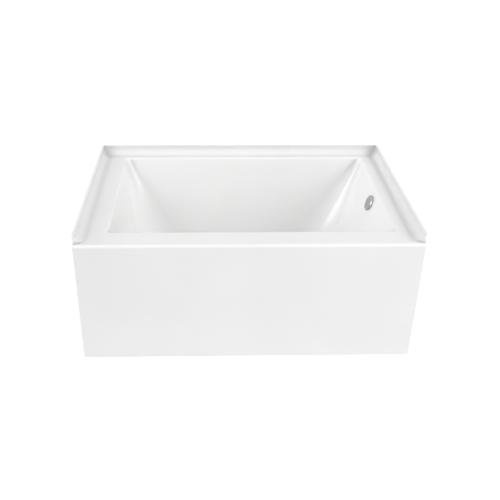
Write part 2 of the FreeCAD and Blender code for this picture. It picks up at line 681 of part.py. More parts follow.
def levelling_foot(name, x, y):
    """Pad, stud and lock nut, which screw down together."""
    socket = S.stud_radius + S.running_gap
    floor = S.pad_height - S.pad_socket
    edge = S.pad_edge
    turned("foot_pad_" + name, (ZERO, ZERO), [
        (S.pad_radius - edge, ZERO), (S.pad_radius, edge, edge, 1), (S.pad_radius, S.pad_base),
        (S.pad_neck + edge, S.pad_slope), (S.pad_neck, S.pad_height), (socket, S.pad_height), (socket, floor),
        (ZERO, floor), (ZERO, ZERO)], (x, y))
    top, edge = CROWN_UNDER + S.rail_sheet + S.nut_height + S.foot_travel, S.stud_radius / 5
    turned("foot_stud_" + name, (ZERO, floor), [
        (S.stud_radius, floor), (S.stud_radius, top - edge), (S.stud_radius - edge, top), (ZERO, top),
        (ZERO, floor)], (x, y))
    hex_nut("foot_lock_nut_" + name, x, y, CROWN_UNDER - S.seat_gap - S.nut_height)


def rail_screws():
    """Pan-head wood screws that hold the rails to the board."""
    shapes = []
    under = BOARD_UNDER - S.rail_sheet
    for x, y in rail_screw_places():
        head = Part.makeCylinder(plain(S.screw_head_radius), plain(S.screw_head_height),
                                 V(plain(x), plain(y), plain(under - S.screw_head_height)))
        shank = Part.makeCylinder(plain(S.rail_screw_radius), plain(S.rail_sheet + S.screw_bite - S.seat_gap),
                                  V(plain(x), plain(y), plain(under)))
        shapes.append(head.fuse(shank).removeSplitter())
    group("rail_screws", shapes)


def frame():
    base_board()
    for side, rail in (("left", RAIL_LEFT), ("right", RAIL_RIGHT)):
        cross_rail(side, rail)
        for end, x, y in foot_places(rail):
            hex_nut("rail_nut_%s_%s" % (end, side), x, y, CROWN_UNDER + S.rail_sheet)
            levelling_foot("%s_%s" % (end, side), x, y)
    rail_screws()


# ---------------------------------------------------------------- waste, stopper and overflow

def waste_flange():
    """Chromed flange with its threaded shank and the cross that holds the stopper."""
    body = new_body("waste_flange")
    bottom, top = RECESS - S.shank_length, RECESS + S.flange_disc
    seat, lip = RECESS + S.seal_seat, S.flange_disc / 2
    seal_edge = S.seal_radius + S.seal_clearance
    outline(new_sketch(body, "flange_outline", "XZ"), (S.shank_bore, bottom), [
        (S.shank_radius, bottom), (S.shank_radius, RECESS), (S.flange_radius, RECESS),
        (S.flange_radius, top - lip), (S.flange_radius - lip, top, lip, 1), (seal_edge + lip, top),
        (seal_edge, seat), (S.shank_bore + lip, seat), (S.shank_bore, seat - lip, lip, 1), (S.shank_bore, bottom)])
    revolve(body, body.Group[-1], "flange_turning")
    reach, half = (S.shank_bore + S.shank_radius) / 2, S.cross_wall / 2
    low = RECESS - S.cross_drop - S.cross_height
    for name, x, y in (("long_bar", reach, half), ("short_bar", half, reach)):
        pad(body, rectangle(new_sketch(body, name + "_plan", "XY", low), -x, x, -y, y), S.cross_height, name)
    pad(body, circles(new_sketch(body, "hub_plan", "XY", low), (ZERO, ZERO, S.cross_hub)), S.cross_height, "hub")
    bore = circles(new_sketch(body, "hub_bore_plan", "XY", low), (ZERO, ZERO, S.sleeve_radius + S.running_gap))
    pocket(body, bore, S.cross_height, "hub_bore", reverse=True)
    put(body, WASTE_X, MIDDLE)
    return body


def waste_shoe():
    """Elbow under the floor that takes the flange's thread and carries the waste pipe to the tee."""
    body = new_body("waste_shoe")
    top = BOSS_UNDER - S.waste_seal_height
    rim, bottom = top - S.shoe_rim, S.shoe_bottom
    outline(new_sketch(body, "shoe_outline", "XZ"), (ZERO, bottom), [
        (S.shoe_radius - S.shoe_wall, bottom), (S.shoe_radius, bottom + S.shoe_wall, S.shoe_wall, 1),
        (S.shoe_radius, rim), (S.waste_seal_radius, rim), (S.waste_seal_radius, top), (ZERO, top), (ZERO, bottom)])
    revolve(body, body.Group[-1], "shoe_turning")
    length = TEE_X - S.tee_side + S.tee_socket - WASTE_X
    pipe = circles(new_sketch(body, "pipe_plan", "YZ"), (ZERO, WASTE_AXIS, S.pipe_radius))
    pad(body, pipe, length, "waste_pipe")
    inside = S.shank_radius + S.running_gap
    outline(new_sketch(body, "cup_outline", "XZ"), (ZERO, bottom + S.shoe_wall), [
        (inside, bottom + S.shoe_wall), (inside, top), (ZERO, top), (ZERO, bottom + S.shoe_wall)])
    revolve(body, body.Group[-1], "cup", cut=True)
    bore = circles(new_sketch(body, "pipe_bore_plan", "YZ"), (ZERO, WASTE_AXIS, PIPE_BORE))
    pocket(body, bore, length, "pipe_bore", reverse=True)
    put(body, WASTE_X, MIDDLE)
    return body


def stopper():
    """Cap, seal and stem, which slide in the sleeve that is screwed into the cross."""
    under = RECESS + S.seal_seat + S.seat_gap + S.seal_height
    top = RECESS - S.sleeve_top
    stem_end = top - S.stopper_lift - S.stem_hold
    place = (WASTE_X, MIDDLE)
    crown = S.cap_height / 2
    dome = (S.cap_radius * S.cap_radius + crown * crown) / (crown * 2)
    turned("stopper_cap", (ZERO, under), [
        (S.cap_radius, under), (S.cap_radius, under + crown), (ZERO, under + S.cap_height, dome, 1),
        (ZERO, under)], place)
    turned("stopper_seal", (S.stem_radius + S.seat_gap, under - S.seal_height), [
        (S.seal_radius - S.seal_height / 3, under - S.seal_height), (S.seal_radius, under),
        (S.stem_radius + S.seat_gap, under), (S.stem_radius + S.seat_gap, under - S.seal_height)], place)
    turned("stopper_stem", (ZERO, stem_end), [
        (S.stem_radius, stem_end), (S.stem_radius, under), (ZERO, under), (ZERO, stem_end)], place)
    bottom, hub = top - S.sleeve_length, RECESS - S.cross_drop
    bore = S.stem_radius + S.running_gap
    collar = S.sleeve_radius + S.sleeve_collar / 2
    turned("stopper_sleeve", (ZERO, bottom), [
        (S.sleeve_radius, bottom), (S.sleeve_radius, hub), (collar, hub), (collar, hub + S.sleeve_collar),
        (S.sleeve_radius, hub + S.sleeve_collar), (S.sleeve_radius, top), (bore, top),
        (bore, bottom + S.sleeve_collar), (ZERO, bottom + S.sleeve_collar), (ZERO, bottom)], place)
    inner = S.shank_radius + S.seat_gap
    low = BOSS_UNDER - S.waste_seal_height
    turned("waste_seal", (inner, low), [
        (S.waste_seal_radius, low), (S.waste_seal_radius, BOSS_UNDER), (inner, BOSS_UNDER), (inner, low)], place)


def waste_tee():
    """Tee that joins the waste pipe and the overflow pipe to the tail."""
    body = new_body("waste_tee")
    low, high = WASTE_AXIS - S.tee_foot, WASTE_AXIS + S.tee_top
    pad(body, circles(new_sketch(body, "tee_plan", "XY", low), (ZERO, ZERO, TEE_RADIUS)), high - low, "tee_upright")
    side = circles(new_sketch(body, "branch_plan", "YZ"), (ZERO, WASTE_AXIS, TEE_RADIUS))
    pad(body, side, S.tee_side, "tee_branch", reverse=True)
    deep = S.tee_socket + S.seat_gap
    bore = circles(new_sketch(body, "upright_bore_plan", "XY", low), (ZERO, ZERO, PIPE_BORE))
    pocket(body, bore, high - low, "upright_bore", reverse=True)
    bore = circles(new_sketch(body, "branch_bore_plan", "YZ", ZERO), (ZERO, WASTE_AXIS, PIPE_BORE))
    pocket(body, bore, S.tee_side, "branch_bore")
    lower = circles(new_sketch(body, "lower_socket_plan", "XY", low), (ZERO, ZERO, SOCKET))
    pocket(body, lower, deep, "lower_socket", reverse=True)
    upper = circles(new_sketch(body, "upper_socket_plan", "XY", high), (ZERO, ZERO, SOCKET))
    pocket(body, upper, deep, "upper_socket")
    end = circles(new_sketch(body, "side_socket_plan", "YZ", -S.tee_side), (ZERO, WASTE_AXIS, SOCKET))
    pocket(body, end, deep, "side_socket", reverse=True)
    put(body, TEE_X, MIDDLE)
    return body


def tube(name, low, high):
    """A straight pipe on the tee's upright axis."""
    body = new_body(name)
    ring = circles(new_sketch(body, name + "_plan", "XY", low), (ZERO, ZERO, S.pipe_radius), (ZERO, ZERO, PIPE_BORE))
    pad(body, ring, high - low, name + "_length")
    put(body, TEE_X, MIDDLE)
    return body


def tail_pipe():
    """The tee's outlet, with a ring cut round it where the trap's sleeve ends."""
    low, top, joint = S.tail_bottom, WASTE_AXIS - S.tee_foot + S.tee_socket, WASTE_AXIS - S.tee_foot
    mark = joint - S.washer_height - S.slip_nut_lip - S.tail_mark_height * 2
    groove, upper = S.pipe_radius - S.tail_mark_depth, mark + S.tail_mark_height
    turned("tail_pipe", (PIPE_BORE, low), [
        (S.pipe_radius, low), (S.pipe_radius, mark), (groove, mark), (groove, upper), (S.pipe_radius, upper),
        (S.pipe_radius, top), (PIPE_BORE, top), (PIPE_BORE, low)], (TEE_X, MIDDLE))


def slip_joint(name, x, y, z, rotation=None):
    """Slip nut and washer at the end of a fitting; the local +Z axis leaves the fitting."""
    turned("slip_washer_" + name, (SOCKET, ZERO), [
        (TEE_RADIUS, ZERO), (TEE_RADIUS, S.washer_height), (SOCKET, S.washer_height), (SOCKET, ZERO)],
        (x, y, z, rotation))
    top = S.washer_height + S.slip_nut_lip
    low, inner = top - S.slip_nut_height, TEE_RADIUS + S.seat_gap
    nut = turned("slip_nut_" + name, (inner, low), [
        (S.slip_nut_radius, low), (S.slip_nut_radius, top), (SOCKET, top), (SOCKET, S.washer_height),
        (inner, S.washer_height), (inner, low)], (x, y, z, rotation))
    groove = circles(new_sketch(nut, name + "_groove_plan", "XY", top), (S.slip_nut_radius + S.nut_groove / 2, ZERO,
                                                                        S.nut_groove))
    cut = pocket(nut, groove, S.slip_nut_height, name + "_groove")
    grooves = feature(nut, "PolarPattern", name + "_grooves", Originals=[cut], Axis=(nut.Group[0], ["V_Axis"]),
                      Angle=360.0, Occurrences=NUT_GROOVES)
    nut.Tip = grooves


def overflow():
    """Elbow behind the waste-end wall, and the chromed cap on its back plate inside the basin."""
    gasket_place = WALL_THROUGH + S.seat_gap
    turned("overflow_gasket", (S.overflow_hole, ZERO), [
        (S.gasket_radius, ZERO), (S.gasket_radius, S.gasket_height), (S.overflow_hole, S.gasket_height),
        (S.overflow_hole, ZERO)], on_overflow(gasket_place))

    start = gasket_place + S.gasket_height
    r = S.elbow_radius
    straight = (TEE_X - OVERFLOW_X + DOWNWARD * r * (1 - DOWNWARD)) / OUTWARD - start - r * OUTWARD
    bend = (r * (1 - DOWNWARD), straight + r * OUTWARD)
    end = (bend[0] + S.elbow_tail * OUTWARD, bend[1] + S.elbow_tail * DOWNWARD)
    body = new_body("overflow_elbow")
    pad(body, circles(new_sketch(body, "plate_plan"), (ZERO, ZERO, S.gasket_radius)), S.elbow_plate, "face_plate")
    route = outline(new_sketch(body, "elbow_route", "XZ"), (ZERO, ZERO), [
        (ZERO, straight), (bend[0], bend[1], r, -1), end], closed=False)
    outside = circles(new_sketch(body, "elbow_section"), (ZERO, ZERO, S.pipe_radius + S.elbow_wall))
    feature(body, "AdditivePipe", "elbow_tube", Profile=outside, Spine=(route, ["Edge1", "Edge2", "Edge3"]))
    before = volume(body)
    inside = circles(new_sketch(body, "elbow_bore_section"), (ZERO, ZERO, SOCKET))
    feature(body, "SubtractivePipe", "elbow_bore", Profile=inside, Spine=(route, ["Edge1", "Edge2", "Edge3"]))
    if volume(body) >= before:
        raise RuntimeError("the elbow's bore cuts nothing")
    holes = [(ZERO, S.overflow_screw_set * side, S.overflow_screw_radius + S.running_gap) for side in (-1, 1)]
    pocket(body, circles(new_sketch(body, "tapping_plan"), *holes), S.elbow_plate, "tappings", reverse=True)
    put(body, *on_overflow(start))

    tail_z = OVERFLOW_Z - DOWNWARD * (start + end[1]) - OUTWARD * end[0]
    down = FreeCAD.Rotation(V(1, 0, 0), 180)
    slip_joint("elbow", TEE_X, MIDDLE, tail_z, down)
    tube("overflow_pipe", WASTE_AXIS + S.tee_top - S.tee_socket, tail_z + S.tee_socket)

    plate = new_body("overflow_back_plate")
    radius = S.overflow_cap_radius - S.overflow_cap_wall - S.seat_gap
    disc = circles(new_sketch(plate, "back_plate_plan"), (ZERO, ZERO, radius), (ZERO, ZERO, S.overflow_port))
    pad(plate, disc, S.overflow_plate_wall, "back_plate")
    holes = [(ZERO, S.overflow_screw_set * side, S.overflow_screw_radius + S.seat_gap) for side in (-1, 1)]
    pocket(plate, circles(new_sketch(plate, "screw_hole_plan"), *holes), S.overflow_plate_wall, "screw_holes",
           reverse=True)
    put(plate, *on_overflow(-S.overflow_plate_wall - S.seat_gap))

    screws = []
    face = S.overflow_plate_wall + S.seat_gap
    length = face + gasket_place + S.gasket_height + S.elbow_plate - S.seat_gap
    for side in (-1, 1):
        base = V(0, plain(S.overflow_screw_set) * side, 0)
        shank = Part.makeCylinder(plain(S.overflow_screw_radius), plain(length), base)
        head = Part.makeCylinder(plain(S.overflow_screw_radius * 2), plain(S.overflow_head_height), base, V(0, 0, -1))
        screws.append(shank.fuse(head).removeSplitter())
    fasteners = group("overflow_screws", screws)
    x, y, z, rotation = on_overflow(-face)
    fasteners.Placement = FreeCAD.Placement(V(plain(x), plain(y), plain(z)), rotation)

    # The cap's outline is turned about an axis that points into the basin.
    cap = new_body("overflow_cap")
    wall, edge, height = S.overflow_cap_wall, S.overflow_cap_round, S.overflow_cap_height
    out, gap = S.overflow_cap_radius, S.seat_gap
    outline(new_sketch(cap, "cap_outline", "XZ"), (ZERO, height - wall), [
        (out - edge, height - wall), (out - wall, height - edge, edge - wall, -1), (out - wall, gap), (out, gap),
        (out, height - edge), (out - edge, height, edge, 1), (ZERO, height), (ZERO, height - wall)])
    revolve(cap, cap.Group[-1], "cap_turning")
    half = S.overflow_slot / 2
    slot = rectangle(new_sketch(cap, "slot_plan", "XY"), out / 2, out * 2, -half, half)
    pocket(cap, slot, S.overflow_slot_height, "water_slot", reverse=True)
    x, y, z, rotation = on_overflow(ZERO)
    put(cap, x, y, z, rotation.multiply(FreeCAD.Rotation(V(0, 0, 1), 180)).multiply(
        FreeCAD.Rotation(V(0, 1, 0), 180)))


def plumbing():
    waste_flange()
    waste_shoe()
    stopper()
    waste_tee()
    slip_joint("waste", TEE_X - S.tee_side, MIDDLE, WASTE_AXIS, FreeCAD.Rotation(V(0, 1, 0), -90))
    slip_joint("overflow", TEE_X, MIDDLE, WASTE_AXIS + S.tee_top)
    slip_joint("tail", TEE_X, MIDDLE, WASTE_AXIS - S.tee_foot, FreeCAD.Rotation(V(1, 0, 0), 180))
    tail_pipe()
    overflow()


# ---------------------------------------------------------------- build, check and write

def check():
    """Stops on any failed object or bad shape."""
    DOC.recompute()
    for item in DOC.Objects:
        if "Invalid" in item.State or "Error" in item.State:
            raise RuntimeError("%s failed: %s" % (item.Name, item.State))
    for body in BODIES:
        shape = body.Shape
        if shape.isNull() or not shape.isValid() or not shape.Solids:
            raise RuntimeError("%s has no good solid" % body.Label)


def write():
    os.makedirs("parts", exist_ok=True)
    for body in BODIES:
        body.Shape.exportStep(os.path.join("parts", body.Label + ".step"))
        print("%-28s solids %d  volume %.1f cm3" % (body.Label, len(body.Shape.Solids), body.Shape.Volume / 1000))


tub_shell()
shell_backing()
apron_panel()
timbers()
frame()
plumbing()
check()
write()
print(len(BODIES), "nodes")
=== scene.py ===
"""Finishes, fine pieces and studio of an alcove bathtub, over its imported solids.

Lengths are metres in the part's own frame: +X runs towards the waste, the apron faces -Y, +Z is up.
"""
import json
import logging
import math
from dataclasses import dataclass
from enum import Enum
from functools import cache
from typing import Any, Sequence

import bmesh
import bpy
from mathutils import Matrix, Vector

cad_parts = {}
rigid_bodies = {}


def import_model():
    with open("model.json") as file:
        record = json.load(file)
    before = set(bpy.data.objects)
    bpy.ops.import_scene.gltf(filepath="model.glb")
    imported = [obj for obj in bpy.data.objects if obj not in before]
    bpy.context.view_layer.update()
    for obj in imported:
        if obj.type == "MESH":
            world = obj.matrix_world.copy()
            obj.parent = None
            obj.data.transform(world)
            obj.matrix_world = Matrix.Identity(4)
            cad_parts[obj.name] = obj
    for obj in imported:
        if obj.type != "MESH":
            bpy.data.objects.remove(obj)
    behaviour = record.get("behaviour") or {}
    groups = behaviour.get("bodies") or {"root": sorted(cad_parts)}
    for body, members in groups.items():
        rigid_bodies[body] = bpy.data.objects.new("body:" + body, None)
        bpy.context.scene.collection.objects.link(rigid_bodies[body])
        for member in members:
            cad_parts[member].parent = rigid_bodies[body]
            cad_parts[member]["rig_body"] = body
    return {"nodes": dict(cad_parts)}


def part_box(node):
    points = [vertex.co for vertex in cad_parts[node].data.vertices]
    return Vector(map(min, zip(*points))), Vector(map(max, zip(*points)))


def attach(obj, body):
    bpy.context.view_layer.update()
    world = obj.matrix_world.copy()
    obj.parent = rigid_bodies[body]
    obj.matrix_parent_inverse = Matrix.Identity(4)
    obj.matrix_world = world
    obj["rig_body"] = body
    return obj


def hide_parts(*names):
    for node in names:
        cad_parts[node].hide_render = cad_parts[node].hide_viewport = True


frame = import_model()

LOG = logging.getLogger("alcove_bathtub")
Colour = tuple[float, float, float]
MERGE_REACH = 2e-6
ROD_SIDES = 24
RINGS_PER_TURN = 6.0
SHARP_ANGLE = math.radians(30.0)


class Grain(Enum):
    """Which way a board's fibres run, as the turn in degrees that brings them onto the texture's X axis."""

    ALONG_LENGTH = (0.0, 0.0, 0.0)
    ALONG_DEPTH = (0.0, 0.0, 90.0)
    UPRIGHT = (0.0, 90.0, 0.0)


class Corner(Enum):
    """The four levelling feet, by where they stand."""

    FRONT_LEFT = "front_left"
    FRONT_RIGHT = "front_right"
    REAR_LEFT = "rear_left"
    REAR_RIGHT = "rear_right"


# ---------------------------------------------------------------- node trees

def add_node(tree: bpy.types.NodeTree, kind: str, inputs: dict[str | int, Any] | None = None,
             **settings: Any) -> bpy.types.Node:
    """Adds a node to a tree and feeds its inputs.

    Args:
        tree: The tree that gets the node.
        kind: The node's class name.
        inputs: Values or sockets for the node's inputs, by name or number.
        settings: Properties of the node itself.

    Returns:
        The new node.
    """
    node = tree.nodes.new(kind)
    for key, value in settings.items():
        setattr(node, key, value)
    for key, value in (inputs or {}).items():
        socket = node.inputs[key]
        if isinstance(value, bpy.types.NodeSocket):
            tree.links.new(value, socket)
        else:
            socket.default_value = value
    return node


def new_group(name: str, takes: Sequence[tuple[str, str, Any]], gives: Sequence[tuple[str, str]],
              kind: str = "ShaderNodeTree") -> tuple[bpy.types.NodeTree, Any, Any]:
    """Starts a node group.

    Args:
        name: The group's name.
        takes: Its inputs, each a name, a socket class and a first value.
        gives: Its outputs, each a name and a socket class.
        kind: The tree's class name.

    Returns:
        The tree, the node that brings its inputs and the node that takes its outputs.
    """
    tree = bpy.data.node_groups.new(name, kind)
    for label, socket_class, first in takes:
        socket = tree.interface.new_socket(label, in_out="INPUT", socket_type=socket_class)
        if first is not None:
            socket.default_value = first
    for label, socket_class in gives:
        tree.interface.new_socket(label, in_out="OUTPUT", socket_type=socket_class)
    return tree, tree.nodes.new("NodeGroupInput"), tree.nodes.new("NodeGroupOutput")


def put_out(tree: bpy.types.NodeTree, end: bpy.types.Node, results: dict[str, Any]) -> None:
    """Wires a group's results to its outputs.

    Args:
        tree: The group's tree.
        end: The group's output node.
        results: A socket for each output's name.
    """
    for label, socket in results.items():
        tree.links.new(socket, end.inputs[label])


def scaled(tree: bpy.types.NodeTree, value: Any, factor: Any, plus: Any = 0.0) -> bpy.types.NodeSocket:
    """Multiplies a value and adds to it.

    Args:
        tree: The tree that gets the node.
        value: The value or socket to scale.
        factor: What it is multiplied by.
        plus: What is added afterwards.

    Returns:
        The result's socket.
    """
    node = add_node(tree, "ShaderNodeMath", {0: value, 1: factor, 2: plus}, operation="MULTIPLY_ADD")
    return node.outputs[0]


def compute(tree: bpy.types.NodeTree, operation: str, first: Any, second: Any = 0.0) -> bpy.types.NodeSocket:
    """Works one or two values with a maths operation.

    Args:
        tree: The tree that gets the node.
        operation: The operation's name in Blender.
        first: The first value or socket.
        second: The second value or socket.

    Returns:
        The result's socket.
    """
    return add_node(tree, "ShaderNodeMath", {0: first, 1: second}, operation=operation).outputs[0]


def stepped(tree: bpy.types.NodeTree, value: Any, low: float, high: float) -> bpy.types.NodeSocket:
    """Turns a value into a soft mask that is 0 at one level and 1 at another.

    Args:
        tree: The tree that gets the node.
        value: The value's socket.
        low: The level that gives 0.
        high: The level that gives 1.

    Returns:
        The mask's socket.
    """
    return add_node(tree, "ShaderNodeMapRange", {"Value": value, "From Min": low, "From Max": high},
                    interpolation_type="SMOOTHSTEP").outputs["Result"]


def mixed(tree: bpy.types.NodeTree, share: Any, first: Any, second: Any) -> bpy.types.NodeSocket:
    """Mixes two colours.

    Args:
        tree: The tree that gets the node.
        share: How much of the second colour shows.
        first: The first colour or its socket.
        second: The second colour or its socket.

    Returns:
        The mixed colour's socket.
    """
    node = add_node(tree, "ShaderNodeMix", data_type="RGBA")
    for key, value in (("Factor_Float", share), ("A_Color", first), ("B_Color", second)):
        socket = next(item for item in node.inputs if item.identifier == key)
        if isinstance(value, bpy.types.NodeSocket):
            tree.links.new(value, socket)
        else:
            socket.default_value = value
    return next(item for item in node.outputs if item.identifier == "Result_Color")


@cache
def moulded_skin() -> bpy.types.NodeTree:
    """Builds the faint peel and slow waves of a moulded or sprayed surface.

    Returns:
        A group with a height and a haze mask.
    """
    tree, start, end = new_group(
        "moulded_skin",
        [("Vector", "NodeSocketVector", None), ("Peel Scale", "NodeSocketFloat", 500.0),
         ("Wave Scale", "NodeSocketFloat", 5.0)],
        [("Height", "NodeSocketFloat"), ("Haze", "NodeSocketFloat")])
    peel = add_node(tree, "ShaderNodeTexNoise",
                    {"Vector": start.outputs["Vector"], "Scale": start.outputs["Peel Scale"], "Detail": 2.0})
    wave = add_node(tree, "ShaderNodeTexNoise",
                    {"Vector": start.outputs["Vector"], "Scale": start.outputs["Wave Scale"], "Detail": 3.0})
    height = scaled(tree, peel.outputs[0], 0.15, scaled(tree, wave.outputs[0], 1.0))
    put_out(tree, end, {"Height": height, "Haze": stepped(tree, wave.outputs[0], 0.35, 0.68)})
    return tree


@cache
def handling_marks() -> bpy.types.NodeTree:
    """Builds the fine scratches and smudges that handling leaves on hard pieces.

    Returns:
        A group with a scratch mask and a smudge mask.
    """
    tree, start, end = new_group(
        "handling_marks",
        [("Vector", "NodeSocketVector", None), ("Scale", "NodeSocketFloat", 60.0)],
        [("Scratches", "NodeSocketFloat"), ("Smudges", "NodeSocketFloat")])
    lines = []
    for turn in (18.0, 74.0, 131.0):
        turned = add_node(tree, "ShaderNodeMapping", {
            "Vector": start.outputs["Vector"], "Rotation": (math.radians(turn), 0.4, math.radians(turn)),
            "Scale": (12.0, 1.0, 1.0)}, vector_type="TEXTURE")
        noise = add_node(tree, "ShaderNodeTexNoise", {
            "Vector": turned.outputs[0], "Scale": scaled(tree, start.outputs["Scale"], 6.0), "Detail": 1.0})
        lines.append(stepped(tree, noise.outputs[0], 0.66, 0.74))
    scratches = compute(tree, "MAXIMUM", compute(tree, "MAXIMUM", lines[0], lines[1]), lines[2])
    smudge = add_node(tree, "ShaderNodeTexNoise",
                      {"Vector": start.outputs["Vector"], "Scale": start.outputs["Scale"], "Detail": 4.0})
    put_out(tree, end, {"Scratches": scratches, "Smudges": stepped(tree, smudge.outputs[0], 0.4, 0.7)})
    return tree


@cache
def wood_grain() -> bpy.types.NodeTree:
    """Builds growth rings, fibres and pores that run along the texture's X axis.

    Returns:
        A group with a ring mask, a fibre mask and a height.
    """
    tree, start, end = new_group(
        "wood_grain",
        [("Vector", "NodeSocketVector", None), ("Ring Scale", "NodeSocketFloat", 55.0)],
        [("Rings", "NodeSocketFloat"), ("Fibres", "NodeSocketFloat"), ("Height", "NodeSocketFloat")])
    long_way = add_node(tree, "ShaderNodeMapping",
                        {"Vector": start.outputs["Vector"], "Scale": (0.12, 1.0, 1.0)})
    sway = add_node(tree, "ShaderNodeTexNoise", {"Vector": long_way.outputs[0], "Scale": 9.0, "Detail": 2.0})
    bent = add_node(tree, "ShaderNodeVectorMath",
                    {0: sway.outputs["Color"], 1: (0.09, 0.09, 0.09), 2: long_way.outputs[0]},
                    operation="MULTIPLY_ADD")
    rings = add_node(tree, "ShaderNodeTexWave",
                     {"Vector": bent.outputs[0], "Scale": start.outputs["Ring Scale"], "Distortion": 1.6,
                      "Detail": 2.0}, wave_type="RINGS", rings_direction="X", wave_profile="SAW")
    fibre = add_node(tree, "ShaderNodeMapping",
                     {"Vector": start.outputs["Vector"], "Scale": (0.03, 1.0, 1.0)})
    fine = add_node(tree, "ShaderNodeTexNoise", {"Vector": fibre.outputs[0], "Scale": 900.0, "Detail": 2.0})
    fibres = stepped(tree, fine.outputs[0], 0.45, 0.75)
    height = scaled(tree, fibres, 0.6, scaled(tree, rings.outputs[1], 0.3))
    put_out(tree, end, {"Rings": rings.outputs[1], "Fibres": fibres, "Height": height})
    return tree


@cache
def chopped_strands() -> bpy.types.NodeTree:
    """Builds the criss-cross of short glass strands in sprayed laminate.

    Returns:
        A group with a strand mask and a height.
    """
    tree, start, end = new_group(
        "chopped_strands",
        [("Vector", "NodeSocketVector", None), ("Scale", "NodeSocketFloat", 60.0)],
        [("Strands", "NodeSocketFloat"), ("Height", "NodeSocketFloat")])
    fine = scaled(tree, start.outputs["Scale"], 5.5)
    strands: Any = 0.0
    for tilt, turn in ((0.5, 0.15), (-0.75, -0.2), (1.35, 0.6), (0.35, 1.5), (-0.8, 1.8)):
        way = add_node(tree, "ShaderNodeMapping", {
            "Vector": start.outputs["Vector"], "Location": (tilt, turn, 0.0), "Rotation": (0.0, tilt, turn),
            "Scale": (11.0, 1.0, 1.0)}, vector_type="TEXTURE")
        noise = add_node(tree, "ShaderNodeTexNoise", {"Vector": way.outputs[0], "Scale": fine, "Detail": 1.0})
        strands = compute(tree, "MAXIMUM", strands, stepped(tree, noise.outputs[0], 0.57, 0.69))
    lumps = add_node(tree, "ShaderNodeTexNoise",
                     {"Vector": start.outputs["Vector"], "Scale": scaled(tree, start.outputs["Scale"], 0.4),
                      "Detail": 4.0})
    put_out(tree, end, {"Strands": strands, "Height": scaled(tree, strands, 0.35, lumps.outputs[0])})
    return tree


# ---------------------------------------------------------------- finishes

class Finish:
    """A finish that makes its material the first time it is asked for."""

    _made: dict["Finish", bpy.types.Material] = {}

    def material(self) -> bpy.types.Material:
        """Returns the finish's material, made once."""
        if self not in Finish._made:
            Finish._made[self] = self.make()
        return Finish._made[self]

    def make(self) -> bpy.types.Material:
        """Builds the material; each finish has its own."""
        raise NotImplementedError

    def start(self, name: str) -> tuple[bpy.types.Material, bpy.types.NodeTree, Any, Any]:
        """Starts a material.

        Args:
            name: The material's name.

        Returns:
            The material, its tree, its Principled shader and the socket of object coordinates.
        """
        material = bpy.data.materials.new(name)
        material.use_nodes = True
        tree = material.node_tree
        place = add_node(tree, "ShaderNodeTexCoord")
        return material, tree, tree.nodes["Principled BSDF"], place.outputs["Object"]


def use_group(tree: bpy.types.NodeTree, group: bpy.types.NodeTree, inputs: dict[str, Any]) -> bpy.types.Node:
    """Places a node group in a tree.

    Args:
        tree: The material's tree.
        group: The group to place.
        inputs: Values or sockets for the group's inputs.

    Returns:
        The group's node.
    """
    return add_node(tree, "ShaderNodeGroup", inputs, node_tree=group)


def relief(tree: bpy.types.NodeTree, shader: bpy.types.Node, height: Any, strength: float,
           depth: float) -> None:
    """Feeds a height into a shader's normal.

    Args:
        tree: The material's tree.
        shader: The shader that gets the normal.
        height: The height's socket.
        strength: How much of the relief shows.
        depth: Its depth in metres.
    """
    bump = add_node(tree, "ShaderNodeBump", {"Height": height, "Strength": strength, "Distance": depth})
    tree.links.new(bump.outputs[0], shader.inputs["Normal"])


def opaque(colour: Colour) -> tuple[float, float, float, float]:
    """Returns a colour with full opacity."""
    return (*colour, 1.0)


@dataclass(frozen=True)
class Acrylic(Finish):
    """Gloss sanitary acrylic: white, with a faint peel and slow waves, and painted shade greying its hollows
    by ambient occlusion.
    """

    colour: Colour = (0.86, 0.86, 0.857)
    shade: Colour = (0.84, 0.841, 0.838)
    # Painted shade: the grey that ambient occlusion mixes into the white in coves, corners and the basin's
    # valleys.
    painted_shade: Colour = (0.44, 0.445, 0.45)
    polish: float = 0.13
    dull: float = 0.20
    peel_scale: float = 420.0
    wave_scale: float = 3.0
    refraction: float = 1.49
    painted_shade_reach: float = 0.060
    painted_shade_open: float = 0.97
    painted_shade_closed: float = 0.64
    painted_shade_share: float = 0.66
    relief_share: float = 0.25
    relief_depth: float = 0.0006

    def make(self) -> bpy.types.Material:
        """Builds the material.

        Returns:
            The material.
        """
        material, tree, shader, place = self.start("acrylic")
        skin = use_group(tree, moulded_skin(), {
            "Vector": place, "Peel Scale": self.peel_scale, "Wave Scale": self.wave_scale})
        colour = mixed(tree, skin.outputs["Haze"], opaque(self.colour), opaque(self.shade))
        # Painted shade: ambient occlusion within a short reach darkens the base colour in coves, corners and
        # valleys, where shade falls.
        occlusion = add_node(tree, "ShaderNodeAmbientOcclusion", {"Distance": self.painted_shade_reach}, samples=16,
                        only_local=True)
        painted_shade_mask = stepped(tree, occlusion.outputs["AO"], self.painted_shade_open, self.painted_shade_closed)
        colour_with_painted_shade = mixed(tree, scaled(tree, painted_shade_mask, self.painted_shade_share), colour, opaque(self.painted_shade))
        tree.links.new(colour_with_painted_shade, shader.inputs["Base Color"])
        tree.links.new(scaled(tree, skin.outputs["Haze"], self.dull - self.polish, self.polish),
                       shader.inputs["Roughness"])
        shader.inputs["IOR"].default_value = self.refraction
        relief(tree, shader, skin.outputs["Height"], self.relief_share, self.relief_depth)
        return material


